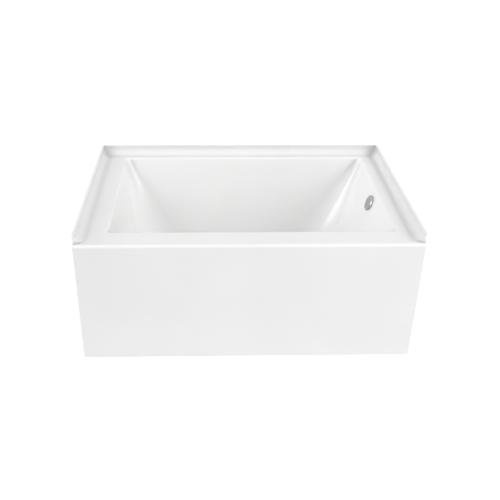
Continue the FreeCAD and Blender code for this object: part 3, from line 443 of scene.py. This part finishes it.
@dataclass(frozen=True)
class GlassFibre(Finish):
    """Sprayed laminate: translucent resin over a mat of chopped strands."""

    resin: Colour = (0.50, 0.45, 0.31)
    strand: Colour = (0.74, 0.72, 0.62)
    patch: Colour = (0.60, 0.56, 0.42)
    patch_share: float = 0.35
    strand_scale: float = 55.0
    wave_scale: float = 7.0
    polish: float = 0.42
    strand_dull: float = 0.25
    relief_share: float = 0.9
    relief_depth: float = 0.002

    def make(self) -> bpy.types.Material:
        """Builds the material.

        Returns:
            The material.
        """
        material, tree, shader, place = self.start("glass_fibre")
        mat = use_group(tree, chopped_strands(), {"Vector": place, "Scale": self.strand_scale})
        skin = use_group(tree, moulded_skin(), {"Vector": place, "Wave Scale": self.wave_scale})
        base = mixed(tree, mat.outputs["Strands"], opaque(self.resin), opaque(self.strand))
        patches = scaled(tree, skin.outputs["Haze"], self.patch_share)
        tree.links.new(mixed(tree, patches, base, opaque(self.patch)), shader.inputs["Base Color"])
        rough = scaled(tree, mat.outputs["Strands"], self.strand_dull, self.polish)
        tree.links.new(rough, shader.inputs["Roughness"])
        relief(tree, shader, mat.outputs["Height"], self.relief_share, self.relief_depth)
        return material


@dataclass(frozen=True)
class Timber(Finish):
    """Sawn softwood with rings and fibres along one axis."""

    grain: Grain = Grain.ALONG_LENGTH
    early: Colour = (0.60, 0.42, 0.22)
    late: Colour = (0.40, 0.23, 0.10)
    ring_scale: float = 30.0
    ring_share: float = 0.7
    fibre_share: float = 0.35
    polish: float = 0.62
    fibre_dull: float = 0.15
    relief_share: float = 0.6
    relief_depth: float = 0.0008

    def make(self) -> bpy.types.Material:
        """Builds the material.

        Returns:
            The material.
        """
        material, tree, shader, place = self.start("timber_" + self.grain.name.lower())
        turned = add_node(tree, "ShaderNodeMapping", {
            "Vector": place, "Rotation": tuple(math.radians(turn) for turn in self.grain.value)})
        wood = use_group(tree, wood_grain(), {"Vector": turned.outputs[0], "Ring Scale": self.ring_scale})
        late_wood = scaled(tree, wood.outputs["Rings"], self.ring_share)
        rings = mixed(tree, late_wood, opaque(self.early), opaque(self.late))
        fibres = scaled(tree, wood.outputs["Fibres"], self.fibre_share)
        tree.links.new(mixed(tree, fibres, rings, opaque(self.late)), shader.inputs["Base Color"])
        rough = scaled(tree, wood.outputs["Fibres"], self.fibre_dull, self.polish)
        tree.links.new(rough, shader.inputs["Roughness"])
        relief(tree, shader, wood.outputs["Height"], self.relief_share, self.relief_depth)
        return material


@dataclass(frozen=True)
class Plywood(Finish):
    """Sanded board: a wide figure on its face and darker glue lines round its edge."""

    face: Colour = (0.56, 0.40, 0.23)
    figure: Colour = (0.42, 0.27, 0.14)
    glue: Colour = (0.20, 0.12, 0.07)
    ply: float = 0.0024
    figure_scale: float = 11.0
    figure_share: float = 0.6
    fibre_share: float = 0.25
    polish: float = 0.55
    fibre_dull: float = 0.2
    relief_share: float = 0.4
    relief_depth: float = 0.0004

    def make(self) -> bpy.types.Material:
        """Builds the material.

        Returns:
            The material.
        """
        material, tree, shader, place = self.start("plywood")
        wood = use_group(tree, wood_grain(), {"Vector": place, "Ring Scale": self.figure_scale})
        figure = scaled(tree, wood.outputs["Rings"], self.figure_share)
        fibres = scaled(tree, wood.outputs["Fibres"], self.fibre_share)
        face = mixed(tree, figure, opaque(self.face), opaque(self.figure))
        face = mixed(tree, fibres, face, opaque(self.figure))
        height = add_node(tree, "ShaderNodeSeparateXYZ", {0: place}).outputs["Z"]
        layer = compute(tree, "PINGPONG", height, self.ply)
        glue = stepped(tree, layer, self.ply * 0.22, self.ply * 0.12)
        way = add_node(tree, "ShaderNodeNewGeometry").outputs["Normal"]
        upright = add_node(tree, "ShaderNodeSeparateXYZ", {0: way}).outputs["Z"]
        edge = stepped(tree, compute(tree, "ABSOLUTE", upright), 0.6, 0.3)
        lined = compute(tree, "MULTIPLY", glue, edge)
        tree.links.new(mixed(tree, lined, face, opaque(self.glue)), shader.inputs["Base Color"])
        rough = scaled(tree, wood.outputs["Fibres"], self.fibre_dull, self.polish)
        tree.links.new(rough, shader.inputs["Roughness"])
        relief(tree, shader, wood.outputs["Height"], self.relief_share, self.relief_depth)
        return material


@dataclass(frozen=True)
class Galvanised(Finish):
    """Zinc-coated sheet with its crystals."""

    light: Colour = (0.62, 0.65, 0.67)
    dark: Colour = (0.40, 0.43, 0.46)
    stain: Colour = (0.5, 0.5, 0.5)
    crystals: float = 90.0
    mark_scale: float = 40.0
    stain_share: float = 0.3
    metal: float = 0.9
    polish: float = 0.34
    crystal_dull: float = 0.18
    scratch: float = 0.15
    relief_share: float = 0.1
    relief_depth: float = 0.0002

    def make(self) -> bpy.types.Material:
        """Builds the material.

        Returns:
            The material.
        """
        material, tree, shader, place = self.start("galvanised_sheet")
        cells = add_node(tree, "ShaderNodeTexVoronoi", {"Vector": place, "Scale": self.crystals})
        value = add_node(tree, "ShaderNodeSeparateXYZ", {0: cells.outputs["Color"]}).outputs["X"]
        marks = use_group(tree, handling_marks(), {"Vector": place, "Scale": self.mark_scale})
        zinc = mixed(tree, value, opaque(self.dark), opaque(self.light))
        stained = scaled(tree, marks.outputs["Smudges"], self.stain_share)
        tree.links.new(mixed(tree, stained, zinc, opaque(self.stain)), shader.inputs["Base Color"])
        shader.inputs["Metallic"].default_value = self.metal
        rough = scaled(tree, value, self.crystal_dull, self.polish)
        scratched = scaled(tree, marks.outputs["Scratches"], self.scratch, rough)
        tree.links.new(scratched, shader.inputs["Roughness"])
        relief(tree, shader, value, self.relief_share, self.relief_depth)
        return material


@dataclass(frozen=True)
class PlatedMetal(Finish):
    """Bright metal, plated or turned: the mirror of chrome, the grey of zinc, the yellow of brass."""

    name: str
    colour: Colour
    stain: Colour
    polish: float
    scratch: float
    mark_scale: float = 120.0
    stain_share: float = 0.5

    def make(self) -> bpy.types.Material:
        """Builds the material.

        Returns:
            The material.
        """
        material, tree, shader, place = self.start(self.name)
        marks = use_group(tree, handling_marks(), {"Vector": place, "Scale": self.mark_scale})
        stained = scaled(tree, marks.outputs["Smudges"], self.stain_share)
        colour = mixed(tree, stained, opaque(self.colour), opaque(self.stain))
        tree.links.new(colour, shader.inputs["Base Color"])
        shader.inputs["Metallic"].default_value = 1.0
        rough = scaled(tree, marks.outputs["Smudges"], self.scratch * 0.5, self.polish)
        scratched = scaled(tree, marks.outputs["Scratches"], self.scratch, rough)
        tree.links.new(scratched, shader.inputs["Roughness"])
        return material


@dataclass(frozen=True)
class Moulded(Finish):
    """Moulded plastic or rubber with a fine skin and light handling marks."""

    name: str
    colour: Colour
    worn: Colour
    polish: float
    peel_scale: float = 900.0
    wave_scale: float = 25.0
    mark_scale: float = 50.0
    scratch_share: float = 0.35
    haze_share: float = 0.3
    smudge_dull: float = 0.12
    relief_share: float = 0.4
    relief_depth: float = 0.0003

    def make(self) -> bpy.types.Material:
        """Builds the material.

        Returns:
            The material.
        """
        material, tree, shader, place = self.start(self.name)
        skin = use_group(tree, moulded_skin(), {
            "Vector": place, "Peel Scale": self.peel_scale, "Wave Scale": self.wave_scale})
        marks = use_group(tree, handling_marks(), {"Vector": place, "Scale": self.mark_scale})
        scratched = scaled(tree, marks.outputs["Scratches"], self.scratch_share)
        hazed = scaled(tree, skin.outputs["Haze"], self.haze_share)
        colour = mixed(tree, scratched, opaque(self.colour), opaque(self.worn))
        tree.links.new(mixed(tree, hazed, colour, opaque(self.worn)), shader.inputs["Base Color"])
        rough = scaled(tree, marks.outputs["Smudges"], self.smudge_dull, self.polish)
        tree.links.new(rough, shader.inputs["Roughness"])
        relief(tree, shader, skin.outputs["Height"], self.relief_share, self.relief_depth)
        return material


ACRYLIC = Acrylic()
GLASS_FIBRE = GlassFibre()
PLYWOOD = Plywood()
GALVANISED = Galvanised()
CHROME = PlatedMetal("chrome", (0.47, 0.475, 0.475), (0.40, 0.405, 0.41), 0.06, 0.06)
ZINC_PLATE = PlatedMetal("zinc_plate", (0.62, 0.62, 0.60), (0.48, 0.46, 0.40), 0.24, 0.20)
BRASS = PlatedMetal("brass", (0.72, 0.53, 0.24), (0.50, 0.36, 0.17), 0.18, 0.15)
BLACK_PLASTIC = Moulded("black_plastic", (0.020, 0.020, 0.022), (0.07, 0.07, 0.07), 0.42)
BLACK_RUBBER = Moulded("black_rubber", (0.016, 0.016, 0.016), (0.05, 0.05, 0.05), 0.62)
WHITE_PLASTIC = Moulded("white_plastic", (0.78, 0.78, 0.75), (0.66, 0.65, 0.60), 0.26)
WASHER_PLASTIC = Moulded("washer_plastic", (0.66, 0.66, 0.62), (0.52, 0.51, 0.46), 0.40)


# ---------------------------------------------------------------- meshes

def settle(piece: bpy.types.Object, body: str, finish: Finish) -> bpy.types.Object:
    """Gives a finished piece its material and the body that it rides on.

    Args:
        piece: The piece, at the origin.
        body: The name of the body that carries it.
        finish: The piece's finish.

    Returns:
        The piece.
    """
    piece.data.materials.clear()
    piece.data.materials.append(finish.material())
    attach(piece, body)
    LOG.info("%s: %d faces, rides on %s", piece.name, len(piece.data.polygons), body)
    return piece


def body_of_node(node: str) -> str:
    """Returns the body that a node belongs to."""
    return frame["nodes"][node]["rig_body"]


def baked(piece: bpy.types.Object) -> bpy.types.Object:
    """Turns a piece and its modifiers into a plain mesh.

    Args:
        piece: The piece with its modifiers.

    Returns:
        The same piece, with the result as its mesh and no modifier.
    """
    evaluated = piece.evaluated_get(bpy.context.evaluated_depsgraph_get())
    mesh = bpy.data.meshes.new_from_object(evaluated)
    piece.modifiers.clear()
    piece.data = mesh
    mesh.name = piece.name
    return piece


def fair_normals(mesh: bpy.types.Mesh, sharp: float) -> None:
    """Shades each corner by the larger faces round it, so that flats stay flat and roundings stay round.

    Args:
        mesh: The merged mesh.
        sharp: Angle between two faces from which their edge stays sharp.
    """
    limit = math.cos(sharp)
    normals = [face.normal.copy() for face in mesh.polygons]
    areas = [face.area for face in mesh.polygons]
    faces_at: dict[int, list[int]] = {}
    for face in mesh.polygons:
        for vertex in face.vertices:
            faces_at.setdefault(vertex, []).append(face.index)
    corners: list[Vector] = [Vector()] * len(mesh.loops)
    for face in mesh.polygons:
        own = normals[face.index]
        for corner in face.loop_indices:
            total = Vector()
            for other in faces_at[mesh.loops[corner].vertex_index]:
                if normals[other].dot(own) > limit:
                    total += normals[other] * areas[other]
            corners[corner] = total.normalized()
    mesh.normals_split_custom_set(corners)


def smooth_copy(node: str, finish: Finish, sharp: float = SHARP_ANGLE) -> bpy.types.Object:
    """Stands a merged, smoothly shaded copy in for a node whose faces are curved.

    Args:
        node: The node's name.
        finish: The copy's finish.
        sharp: Angle from which an edge stays sharp.

    Returns:
        The copy, which replaces the node.
    """
    mesh = frame["nodes"][node].data.copy()
    work = bmesh.new()
    work.from_mesh(mesh)
    bmesh.ops.remove_doubles(work, verts=work.verts, dist=MERGE_REACH)
    work.to_mesh(mesh)
    work.free()
    mesh.shade_smooth()
    fair_normals(mesh, sharp)
    piece = bpy.data.objects.new(node + "_skin", mesh)
    bpy.context.scene.collection.objects.link(piece)
    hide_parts(node)
    return settle(piece, body_of_node(node), finish)


# ---------------------------------------------------------------- turned pieces by rule

def radial(tree: bpy.types.NodeTree, mesh: Any, share: Any) -> bpy.types.NodeSocket:
    """Draws a mesh's points towards the Z axis.

    Args:
        tree: The tree that gets the nodes.
        mesh: The mesh's socket.
        share: What each point's distance from the axis is multiplied by.

    Returns:
        The reshaped mesh's socket.
    """
    place = add_node(tree, "GeometryNodeInputPosition").outputs[0]
    axes = add_node(tree, "ShaderNodeSeparateXYZ", {0: place})
    moved = add_node(tree, "ShaderNodeCombineXYZ", {
        "X": scaled(tree, axes.outputs["X"], share), "Y": scaled(tree, axes.outputs["Y"], share),
        "Z": axes.outputs["Z"]})
    node = add_node(tree, "GeometryNodeSetPosition", {"Geometry": mesh, "Position": moved.outputs[0]})
    return node.outputs[0]


def threaded_rod(tree: bpy.types.NodeTree, radius: Any, depth: Any, pitch: Any,
                 length: Any) -> bpy.types.NodeSocket:
    """Builds a rod along Z, centred on the origin, with a helical ridge and blunt tapered ends.

    Args:
        tree: The geometry tree that gets the nodes.
        radius: The rod's outer radius.
        depth: Depth of the groove.
        pitch: Rise of the ridge in one turn.
        length: The rod's length.

    Returns:
        The rod's socket.
    """
    rings = compute(tree, "MULTIPLY", compute(tree, "DIVIDE", length, pitch), RINGS_PER_TURN)
    rod = add_node(tree, "GeometryNodeMeshCylinder",
                   {"Vertices": ROD_SIDES, "Side Segments": rings, "Radius": radius, "Depth": length})
    place = add_node(tree, "GeometryNodeInputPosition").outputs[0]
    axes = add_node(tree, "ShaderNodeSeparateXYZ", {0: place})
    angle = compute(tree, "ARCTAN2", axes.outputs["Y"], axes.outputs["X"])
    climb = compute(tree, "SUBTRACT", compute(tree, "DIVIDE", axes.outputs["Z"], pitch),
                    compute(tree, "DIVIDE", angle, math.tau))
    groove = compute(tree, "MULTIPLY", compute(tree, "PINGPONG", climb, 0.5), 2.0)
    from_end = compute(tree, "SUBTRACT", compute(tree, "MULTIPLY", length, 0.5),
                       compute(tree, "ABSOLUTE", axes.outputs["Z"]))
    bluntness = compute(tree, "SUBTRACT", 1.0, compute(tree, "DIVIDE", from_end, pitch))
    taper = compute(tree, "MAXIMUM", bluntness, 0.0)
    sunk = compute(tree, "MULTIPLY", compute(tree, "MAXIMUM", groove, taper),
                   compute(tree, "DIVIDE", depth, radius))
    return radial(tree, rod.outputs["Mesh"], compute(tree, "SUBTRACT", 1.0, sunk))


def finished(tree: bpy.types.NodeTree, end: bpy.types.Node, mesh: Any, finish: Any) -> None:
    """Ends a geometry tree: real copies, smooth shading and the finish.

    Args:
        tree: The geometry tree.
        end: Its output node.
        mesh: The mesh's or instances' socket.
        finish: The material's socket.
    """
    real = add_node(tree, "GeometryNodeRealizeInstances", {"Geometry": mesh})
    dressed = add_node(tree, "GeometryNodeSetMaterial", {"Geometry": real.outputs[0], "Material": finish})
    put_out(tree, end, {"Geometry": dressed.outputs[0]})


@cache
def stud_tree() -> bpy.types.NodeTree:
    """Builds the tree of a threaded stud that stands on a given place.

    Returns:
        The geometry tree.
    """
    tree, start, end = new_group(
        "threaded_stud",
        [("Geometry", "NodeSocketGeometry", None), ("Place", "NodeSocketVector", None),
         ("Radius", "NodeSocketFloat", 0.005), ("Thread Depth", "NodeSocketFloat", 0.0008),
         ("Thread Pitch", "NodeSocketFloat", 0.0015), ("Length", "NodeSocketFloat", 0.05),
         ("Finish", "NodeSocketMaterial", None)],
        [("Geometry", "NodeSocketGeometry")], "GeometryNodeTree")
    rod = threaded_rod(tree, start.outputs["Radius"], start.outputs["Thread Depth"],
                       start.outputs["Thread Pitch"], start.outputs["Length"])
    stood = add_node(tree, "GeometryNodeTransform", {"Geometry": rod, "Translation": start.outputs["Place"]})
    finished(tree, end, stood.outputs[0], start.outputs["Finish"])
    return tree


@cache
def screw_tree() -> bpy.types.NodeTree:
    """Builds the tree that stands a pan-head wood screw, head down, on each point of a mesh.

    Returns:
        The geometry tree.
    """
    tree, start, end = new_group(
        "pan_head_screws",
        [("Geometry", "NodeSocketGeometry", None), ("Head Radius", "NodeSocketFloat", 0.005),
         ("Head Height", "NodeSocketFloat", 0.003), ("Shank Radius", "NodeSocketFloat", 0.0025),
         ("Shank Length", "NodeSocketFloat", 0.011), ("Thread Depth", "NodeSocketFloat", 0.0006),
         ("Thread Pitch", "NodeSocketFloat", 0.0022), ("Recess Width", "NodeSocketFloat", 0.0011),
         ("Recess Depth", "NodeSocketFloat", 0.0016), ("Finish", "NodeSocketMaterial", None)],
        [("Geometry", "NodeSocketGeometry")], "GeometryNodeTree")
    sizes = start.outputs
    head = add_node(tree, "GeometryNodeMeshCylinder", {
        "Vertices": 32, "Side Segments": 8, "Radius": sizes["Head Radius"], "Depth": sizes["Head Height"]})
    place = add_node(tree, "GeometryNodeInputPosition").outputs[0]
    height = add_node(tree, "ShaderNodeSeparateXYZ", {0: place}).outputs["Z"]
    fall = compute(tree, "SUBTRACT", 0.5, compute(tree, "DIVIDE", height, sizes["Head Height"]))
    drop = scaled(tree, compute(tree, "POWER", fall, 2.4), 0.72)
    pan = compute(tree, "SQRT", compute(tree, "SUBTRACT", 1.0, drop))
    domed = radial(tree, head.outputs["Mesh"], pan)
    bars = []
    for along_x in (True, False):
        long_side = compute(tree, "MULTIPLY", sizes["Head Radius"], 1.05)
        sides = (long_side, sizes["Recess Width"]) if along_x else (sizes["Recess Width"], long_side)
        size = add_node(tree, "ShaderNodeCombineXYZ", {
            "X": sides[0], "Y": sides[1], "Z": compute(tree, "MULTIPLY", sizes["Recess Depth"], 2.0)})
        bar = add_node(tree, "GeometryNodeMeshCube", {"Size": size.outputs[0]})
        low = add_node(tree, "ShaderNodeCombineXYZ",
                       {"Z": compute(tree, "MULTIPLY", sizes["Head Height"], -0.5)})
        bars.append(add_node(tree, "GeometryNodeTransform",
                             {"Geometry": bar.outputs["Mesh"], "Translation": low.outputs[0]}).outputs[0])
    cut = add_node(tree, "GeometryNodeMeshBoolean", {"Mesh 1": domed, "Mesh 2": bars[0]},
                   operation="DIFFERENCE", solver="EXACT")
    tree.links.new(bars[1], cut.inputs["Mesh 2"])
    head_place = add_node(tree, "ShaderNodeCombineXYZ",
                          {"Z": compute(tree, "MULTIPLY", sizes["Head Height"], 0.5)})
    seated = add_node(tree, "GeometryNodeTransform",
                      {"Geometry": cut.outputs["Mesh"], "Translation": head_place.outputs[0]})
    shank = threaded_rod(tree, sizes["Shank Radius"], sizes["Thread Depth"], sizes["Thread Pitch"],
                         sizes["Shank Length"])
    shank_place = add_node(tree, "ShaderNodeCombineXYZ", {
        "Z": scaled(tree, sizes["Shank Length"], 0.5, sizes["Head Height"])})
    raised = add_node(tree, "GeometryNodeTransform",
                      {"Geometry": shank, "Translation": shank_place.outputs[0]})
    screw = add_node(tree, "GeometryNodeJoinGeometry", {"Geometry": seated.outputs[0]})
    tree.links.new(raised.outputs[0], screw.inputs["Geometry"])
    spread = add_node(tree, "GeometryNodeInstanceOnPoints",
                      {"Points": start.outputs["Geometry"], "Instance": screw.outputs[0]})
    finished(tree, end, spread.outputs[0], start.outputs["Finish"])
    return tree


def grown(name: str, tree: bpy.types.NodeTree, points: Sequence[Vector], values: dict[str, Any],
          sharp: float) -> bpy.types.Object:
    """Makes a piece with a geometry tree and turns it into a plain mesh.

    Args:
        name: The piece's name.
        tree: The geometry tree.
        points: The points of the mesh that the tree starts from.
        values: Values for the tree's inputs, by name.
        sharp: Angle from which an edge stays sharp.

    Returns:
        The piece.
    """
    mesh = bpy.data.meshes.new(name)
    mesh.from_pydata(points, [], [])
    piece = bpy.data.objects.new(name, mesh)
    bpy.context.scene.collection.objects.link(piece)
    nodes = piece.modifiers.new("nodes", "NODES")
    nodes.node_group = tree
    for item in tree.interface.items_tree:
        if item.in_out == "INPUT" and item.name in values:
            nodes[item.identifier] = values[item.name]
    baked(piece)
    piece.data.shade_smooth()
    piece.data.set_sharp_from_angle(angle=sharp)
    return piece


def upright_boxes(node: str, reach: float) -> list[tuple[Vector, Vector]]:
    """Finds the box of each upright solid in a node that holds several.

    Args:
        node: The node's name.
        reach: Distance in plan within which two points belong to one solid.

    Returns:
        The lowest and highest corner of each solid.
    """
    boxes: list[tuple[Vector, Vector]] = []
    for vertex in frame["nodes"][node].data.vertices:
        place = vertex.co
        near = next((box for box in boxes if ((box[0] + box[1]).xy / 2 - place.xy).length < reach), None)
        if near is None:
            boxes.append((place.copy(), place.copy()))
            continue
        for axis in range(3):
            near[0][axis] = min(near[0][axis], place[axis])
            near[1][axis] = max(near[1][axis], place[axis])
    return boxes


def dress(node: str, finish: Finish) -> None:
    """Gives a flat-sided node that stays as it is a better material.

    Args:
        node: The node's name.
        finish: Its finish.
    """
    for slot in frame["nodes"][node].material_slots:
        slot.material = finish.material()
    LOG.info("%s: keeps its solid", node)


# ---------------------------------------------------------------- sub-assemblies

@dataclass
class Moulding:
    """The moulded bath, the apron in front of it and the glass-fibre backing."""

    sharp_angle: float = math.radians(32.0)

    def build(self) -> None:
        """Builds the smooth skins of the three mouldings."""
        smooth_copy("tub_shell", ACRYLIC, self.sharp_angle)
        smooth_copy("apron_panel", ACRYLIC, self.sharp_angle)
        smooth_copy("shell_backing", GLASS_FIBRE, self.sharp_angle)


@dataclass
class Carcass:
    """Deck battens, apron framing and the base board."""

    long_battens: tuple[str, ...] = ("front_deck_batten", "rear_deck_batten", "apron_sill_batten")
    cross_battens: tuple[str, ...] = ("left_deck_batten", "right_deck_batten")
    stiffeners: tuple[str, ...] = ("apron_stiffener_left", "apron_stiffener_middle", "apron_stiffener_right")

    def build(self) -> None:
        """Dresses each batten with its own grain, and the board."""
        for names, grain in ((self.long_battens, Grain.ALONG_LENGTH), (self.cross_battens, Grain.ALONG_DEPTH),
                             (self.stiffeners, Grain.UPRIGHT)):
            for node in names:
                dress(node, Timber(grain))
        dress("base_board", PLYWOOD)


@dataclass
class SupportFrame:
    """Cross rails, their screws and nuts, and the levelling feet."""

    stud_depth: float = 0.0009
    stud_pitch: float = 0.0015
    screw_head_height: float = 0.003
    screw_shank_radius: float = 0.0025
    screw_reach: float = 0.012
    sharp_angle: float = math.radians(50.0)

    def build(self) -> None:
        """Dresses the steel and builds the feet."""
        for side in ("left", "right"):
            dress("cross_rail_" + side, GALVANISED)
        self.add_screws()
        for corner in Corner:
            smooth_copy("rail_nut_" + corner.value, ZINC_PLATE)
            smooth_copy("foot_lock_nut_" + corner.value, ZINC_PLATE)
            smooth_copy("foot_pad_" + corner.value, BLACK_PLASTIC)
            self.add_stud(corner)

    def add_stud(self, corner: Corner) -> None:
        """Threads the stud of one foot.

        Args:
            corner: Where the foot stands.
        """
        node = "foot_stud_" + corner.value
        low, high = (Vector(end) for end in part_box(node))
        stud = grown(node + "_thread", stud_tree(), [Vector((0.0, 0.0, 0.0))], {
            "Place": (low + high) / 2, "Radius": (high.x - low.x) / 2, "Thread Depth": self.stud_depth,
            "Thread Pitch": self.stud_pitch, "Length": high.z - low.z, "Finish": ZINC_PLATE.material(),
        }, self.sharp_angle)
        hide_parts(node)
        settle(stud, body_of_node(node), ZINC_PLATE)

    def add_screws(self) -> None:
        """Drives the pan-head screws through the rails' brims, with their heads underneath."""
        boxes = upright_boxes("rail_screws", self.screw_reach)
        low, high = boxes[0]
        places = [Vector(((one.x + other.x) / 2, (one.y + other.y) / 2, one.z)) for one, other in boxes]
        screws = grown("rail_screws_cut", screw_tree(), places, {
            "Head Radius": (high.x - low.x) / 2, "Head Height": self.screw_head_height,
            "Shank Radius": self.screw_shank_radius, "Shank Length": high.z - low.z - self.screw_head_height,
            "Finish": ZINC_PLATE.material(),
        }, self.sharp_angle)
        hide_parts("rail_screws")
        settle(screws, body_of_node("rail_screws"), ZINC_PLATE)


@dataclass
class WasteKit:
    """Waste, stopper, tee, tail and overflow."""

    chromed: tuple[str, ...] = ("waste_flange", "stopper_cap", "overflow_cap", "overflow_back_plate",
                                "overflow_screws")
    brass: tuple[str, ...] = ("stopper_stem", "stopper_sleeve")
    rubber: tuple[str, ...] = ("stopper_seal", "waste_seal", "overflow_gasket")
    white: tuple[str, ...] = ("waste_shoe", "waste_tee", "tail_pipe", "overflow_pipe", "overflow_elbow")
    joints: tuple[str, ...] = ("waste", "overflow", "tail", "elbow")

    def build(self) -> None:
        """Builds the smooth pieces of the waste and overflow."""
        for names, finish in ((self.chromed, CHROME), (self.brass, BRASS), (self.rubber, BLACK_RUBBER),
                              (self.white, WHITE_PLASTIC)):
            for node in names:
                smooth_copy(node, finish)
        for joint in self.joints:
            smooth_copy("slip_nut_" + joint, WHITE_PLASTIC)
            smooth_copy("slip_washer_" + joint, WASHER_PLASTIC)


# ---------------------------------------------------------------- studio

@dataclass(frozen=True)
class Lamp:
    """A light round the object.

    Its bearing runs from +X towards +Y and its height upwards, both in degrees. A sun's strength is that on a
    surface facing it, and a panel's is its power in watts.
    """

    name: str
    bearing: float
    height: float
    strength: float

    def towards(self) -> Vector:
        """Returns the way from the object to the lamp, one metre long."""
        turn, rise = math.radians(self.bearing), math.radians(self.height)
        return Vector((math.cos(turn) * math.cos(rise), math.sin(turn) * math.cos(rise), math.sin(rise)))


@dataclass
class Studio:
    """Camera, floor and light."""

    lens_mm: float = 49.6
    sensor_mm: float = 36.0
    place: tuple[float, float, float] = (-0.1431, -2.4369, 1.6830)
    pitch: float = math.radians(28.87)
    yaw: float = math.radians(-1.57)
    roll: float = math.radians(0.50)
    shift: tuple[float, float] = (0.05, -0.05)
    floor_half: float = 30.0
    sky: float = 0.40
    floor_glow: float = 0.68
    floor_colour: float = 0.48
    sun_spread: float = math.radians(35.0)
    suns: tuple[Lamp, ...] = (
        Lamp("right_panel", -20.0, 38.0, 1.30), Lamp("left_panel", -130.0, 38.0, 0.90),
        Lamp("left_fill", 180.0, 18.0, 1.18), Lamp("front_fill", -50.0, 15.0, 0.40))
    panel: Lamp = Lamp("front_panel", -50.0, 14.0, 18.0)
    panel_away: float = 4.0
    panel_width: float = 1.2

    def build(self) -> None:
        """Builds the camera, the floor and the lights."""
        self.add_camera()
        self.add_floor()
        self.add_sky()
        for lamp in self.suns:
            self.add_lamp(lamp, "SUN").data.angle = self.sun_spread
        panel = self.add_lamp(self.panel, "AREA")
        panel.data.size = self.panel_width
        panel.location = self.panel.towards() * self.panel_away
        panel.visible_camera = False
        bpy.context.scene.view_settings.view_transform = "Standard"

    def add_camera(self) -> None:
        """Sets the camera at the photograph's viewing angle."""
        data = bpy.data.cameras.new("camera")
        data.lens = self.lens_mm
        data.sensor_width = self.sensor_mm
        data.shift_x, data.shift_y = self.shift
        turn = Matrix.Rotation(self.yaw, 3, "Z")
        right = turn @ Vector((1.0, 0.0, 0.0))
        up = turn @ Vector((0.0, math.sin(self.pitch), math.cos(self.pitch)))
        ahead = turn @ Vector((0.0, math.cos(self.pitch), -math.sin(self.pitch)))
        rolled_right = right * math.cos(self.roll) + up * math.sin(self.roll)
        rolled_up = up * math.cos(self.roll) - right * math.sin(self.roll)
        axes = Matrix((rolled_right, rolled_up, -ahead)).transposed()
        camera = bpy.data.objects.new("camera", data)
        camera.matrix_world = Matrix.Translation(self.place) @ axes.to_4x4()
        bpy.context.scene.collection.objects.link(camera)
        bpy.context.scene.camera = camera

    @staticmethod
    def seen_rays(tree: bpy.types.NodeTree) -> bpy.types.NodeSocket:
        """Finds the rays that come from the camera or a mirror.

        Args:
            tree: The tree that gets the nodes.

        Returns:
            A socket that is 1 for those rays and 0 for the rest.
        """
        path = add_node(tree, "ShaderNodeLightPath")
        return compute(tree, "MAXIMUM", path.outputs["Is Camera Ray"], path.outputs["Is Glossy Ray"])

    def add_floor(self) -> None:
        """Lays a white floor that keeps the object's shadow."""
        half = self.floor_half
        mesh = bpy.data.meshes.new("studio_floor")
        corners = [(-half, -half, 0.0), (half, -half, 0.0), (half, half, 0.0), (-half, half, 0.0)]
        mesh.from_pydata(corners, [], [(0, 1, 2, 3)])
        floor = bpy.data.objects.new("studio_floor", mesh)
        bpy.context.scene.collection.objects.link(floor)
        material = bpy.data.materials.new("studio_floor")
        material.use_nodes = True
        tree = material.node_tree
        shader = tree.nodes["Principled BSDF"]
        shader.inputs["Base Color"].default_value = (self.floor_colour,) * 3 + (1.0,)
        shader.inputs["Roughness"].default_value = 0.9
        shader.inputs["Emission Color"].default_value = (1.0, 1.0, 1.0, 1.0)
        glow = scaled(tree, self.seen_rays(tree), self.floor_glow)
        tree.links.new(glow, shader.inputs["Emission Strength"])
        mesh.materials.append(material)

    def add_sky(self) -> None:
        """Sets an even light all round, which the camera and mirrors see as white."""
        world = bpy.data.worlds.new("studio")
        world.use_nodes = True
        tree = world.node_tree
        back = tree.nodes["Background"]
        back.inputs["Color"].default_value = (1.0, 1.0, 1.0, 1.0)
        strength = scaled(tree, self.seen_rays(tree), 1.0 - self.sky, self.sky)
        tree.links.new(strength, back.inputs["Strength"])
        bpy.context.scene.world = world

    def add_lamp(self, lamp: Lamp, kind: str) -> bpy.types.Object:
        """Adds a light that looks at the object.

        Args:
            lamp: Its name, place and strength.
            kind: Blender's name for its kind.

        Returns:
            The light's object.
        """
        data = bpy.data.lights.new(lamp.name, kind)
        data.energy = lamp.strength
        light = bpy.data.objects.new(lamp.name, data)
        light.rotation_euler = lamp.towards().to_track_quat("Z", "Y").to_euler()
        bpy.context.scene.collection.objects.link(light)
        return light


def main() -> None:
    """Builds the bathtub's looks and its studio."""
    logging.basicConfig(level=logging.INFO, format="%(name)s: %(message)s")
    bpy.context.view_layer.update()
    for part in (Moulding(), Carcass(), SupportFrame(), WasteKit(), Studio()):
        part.build()


if __name__ == "__main__":
    main()
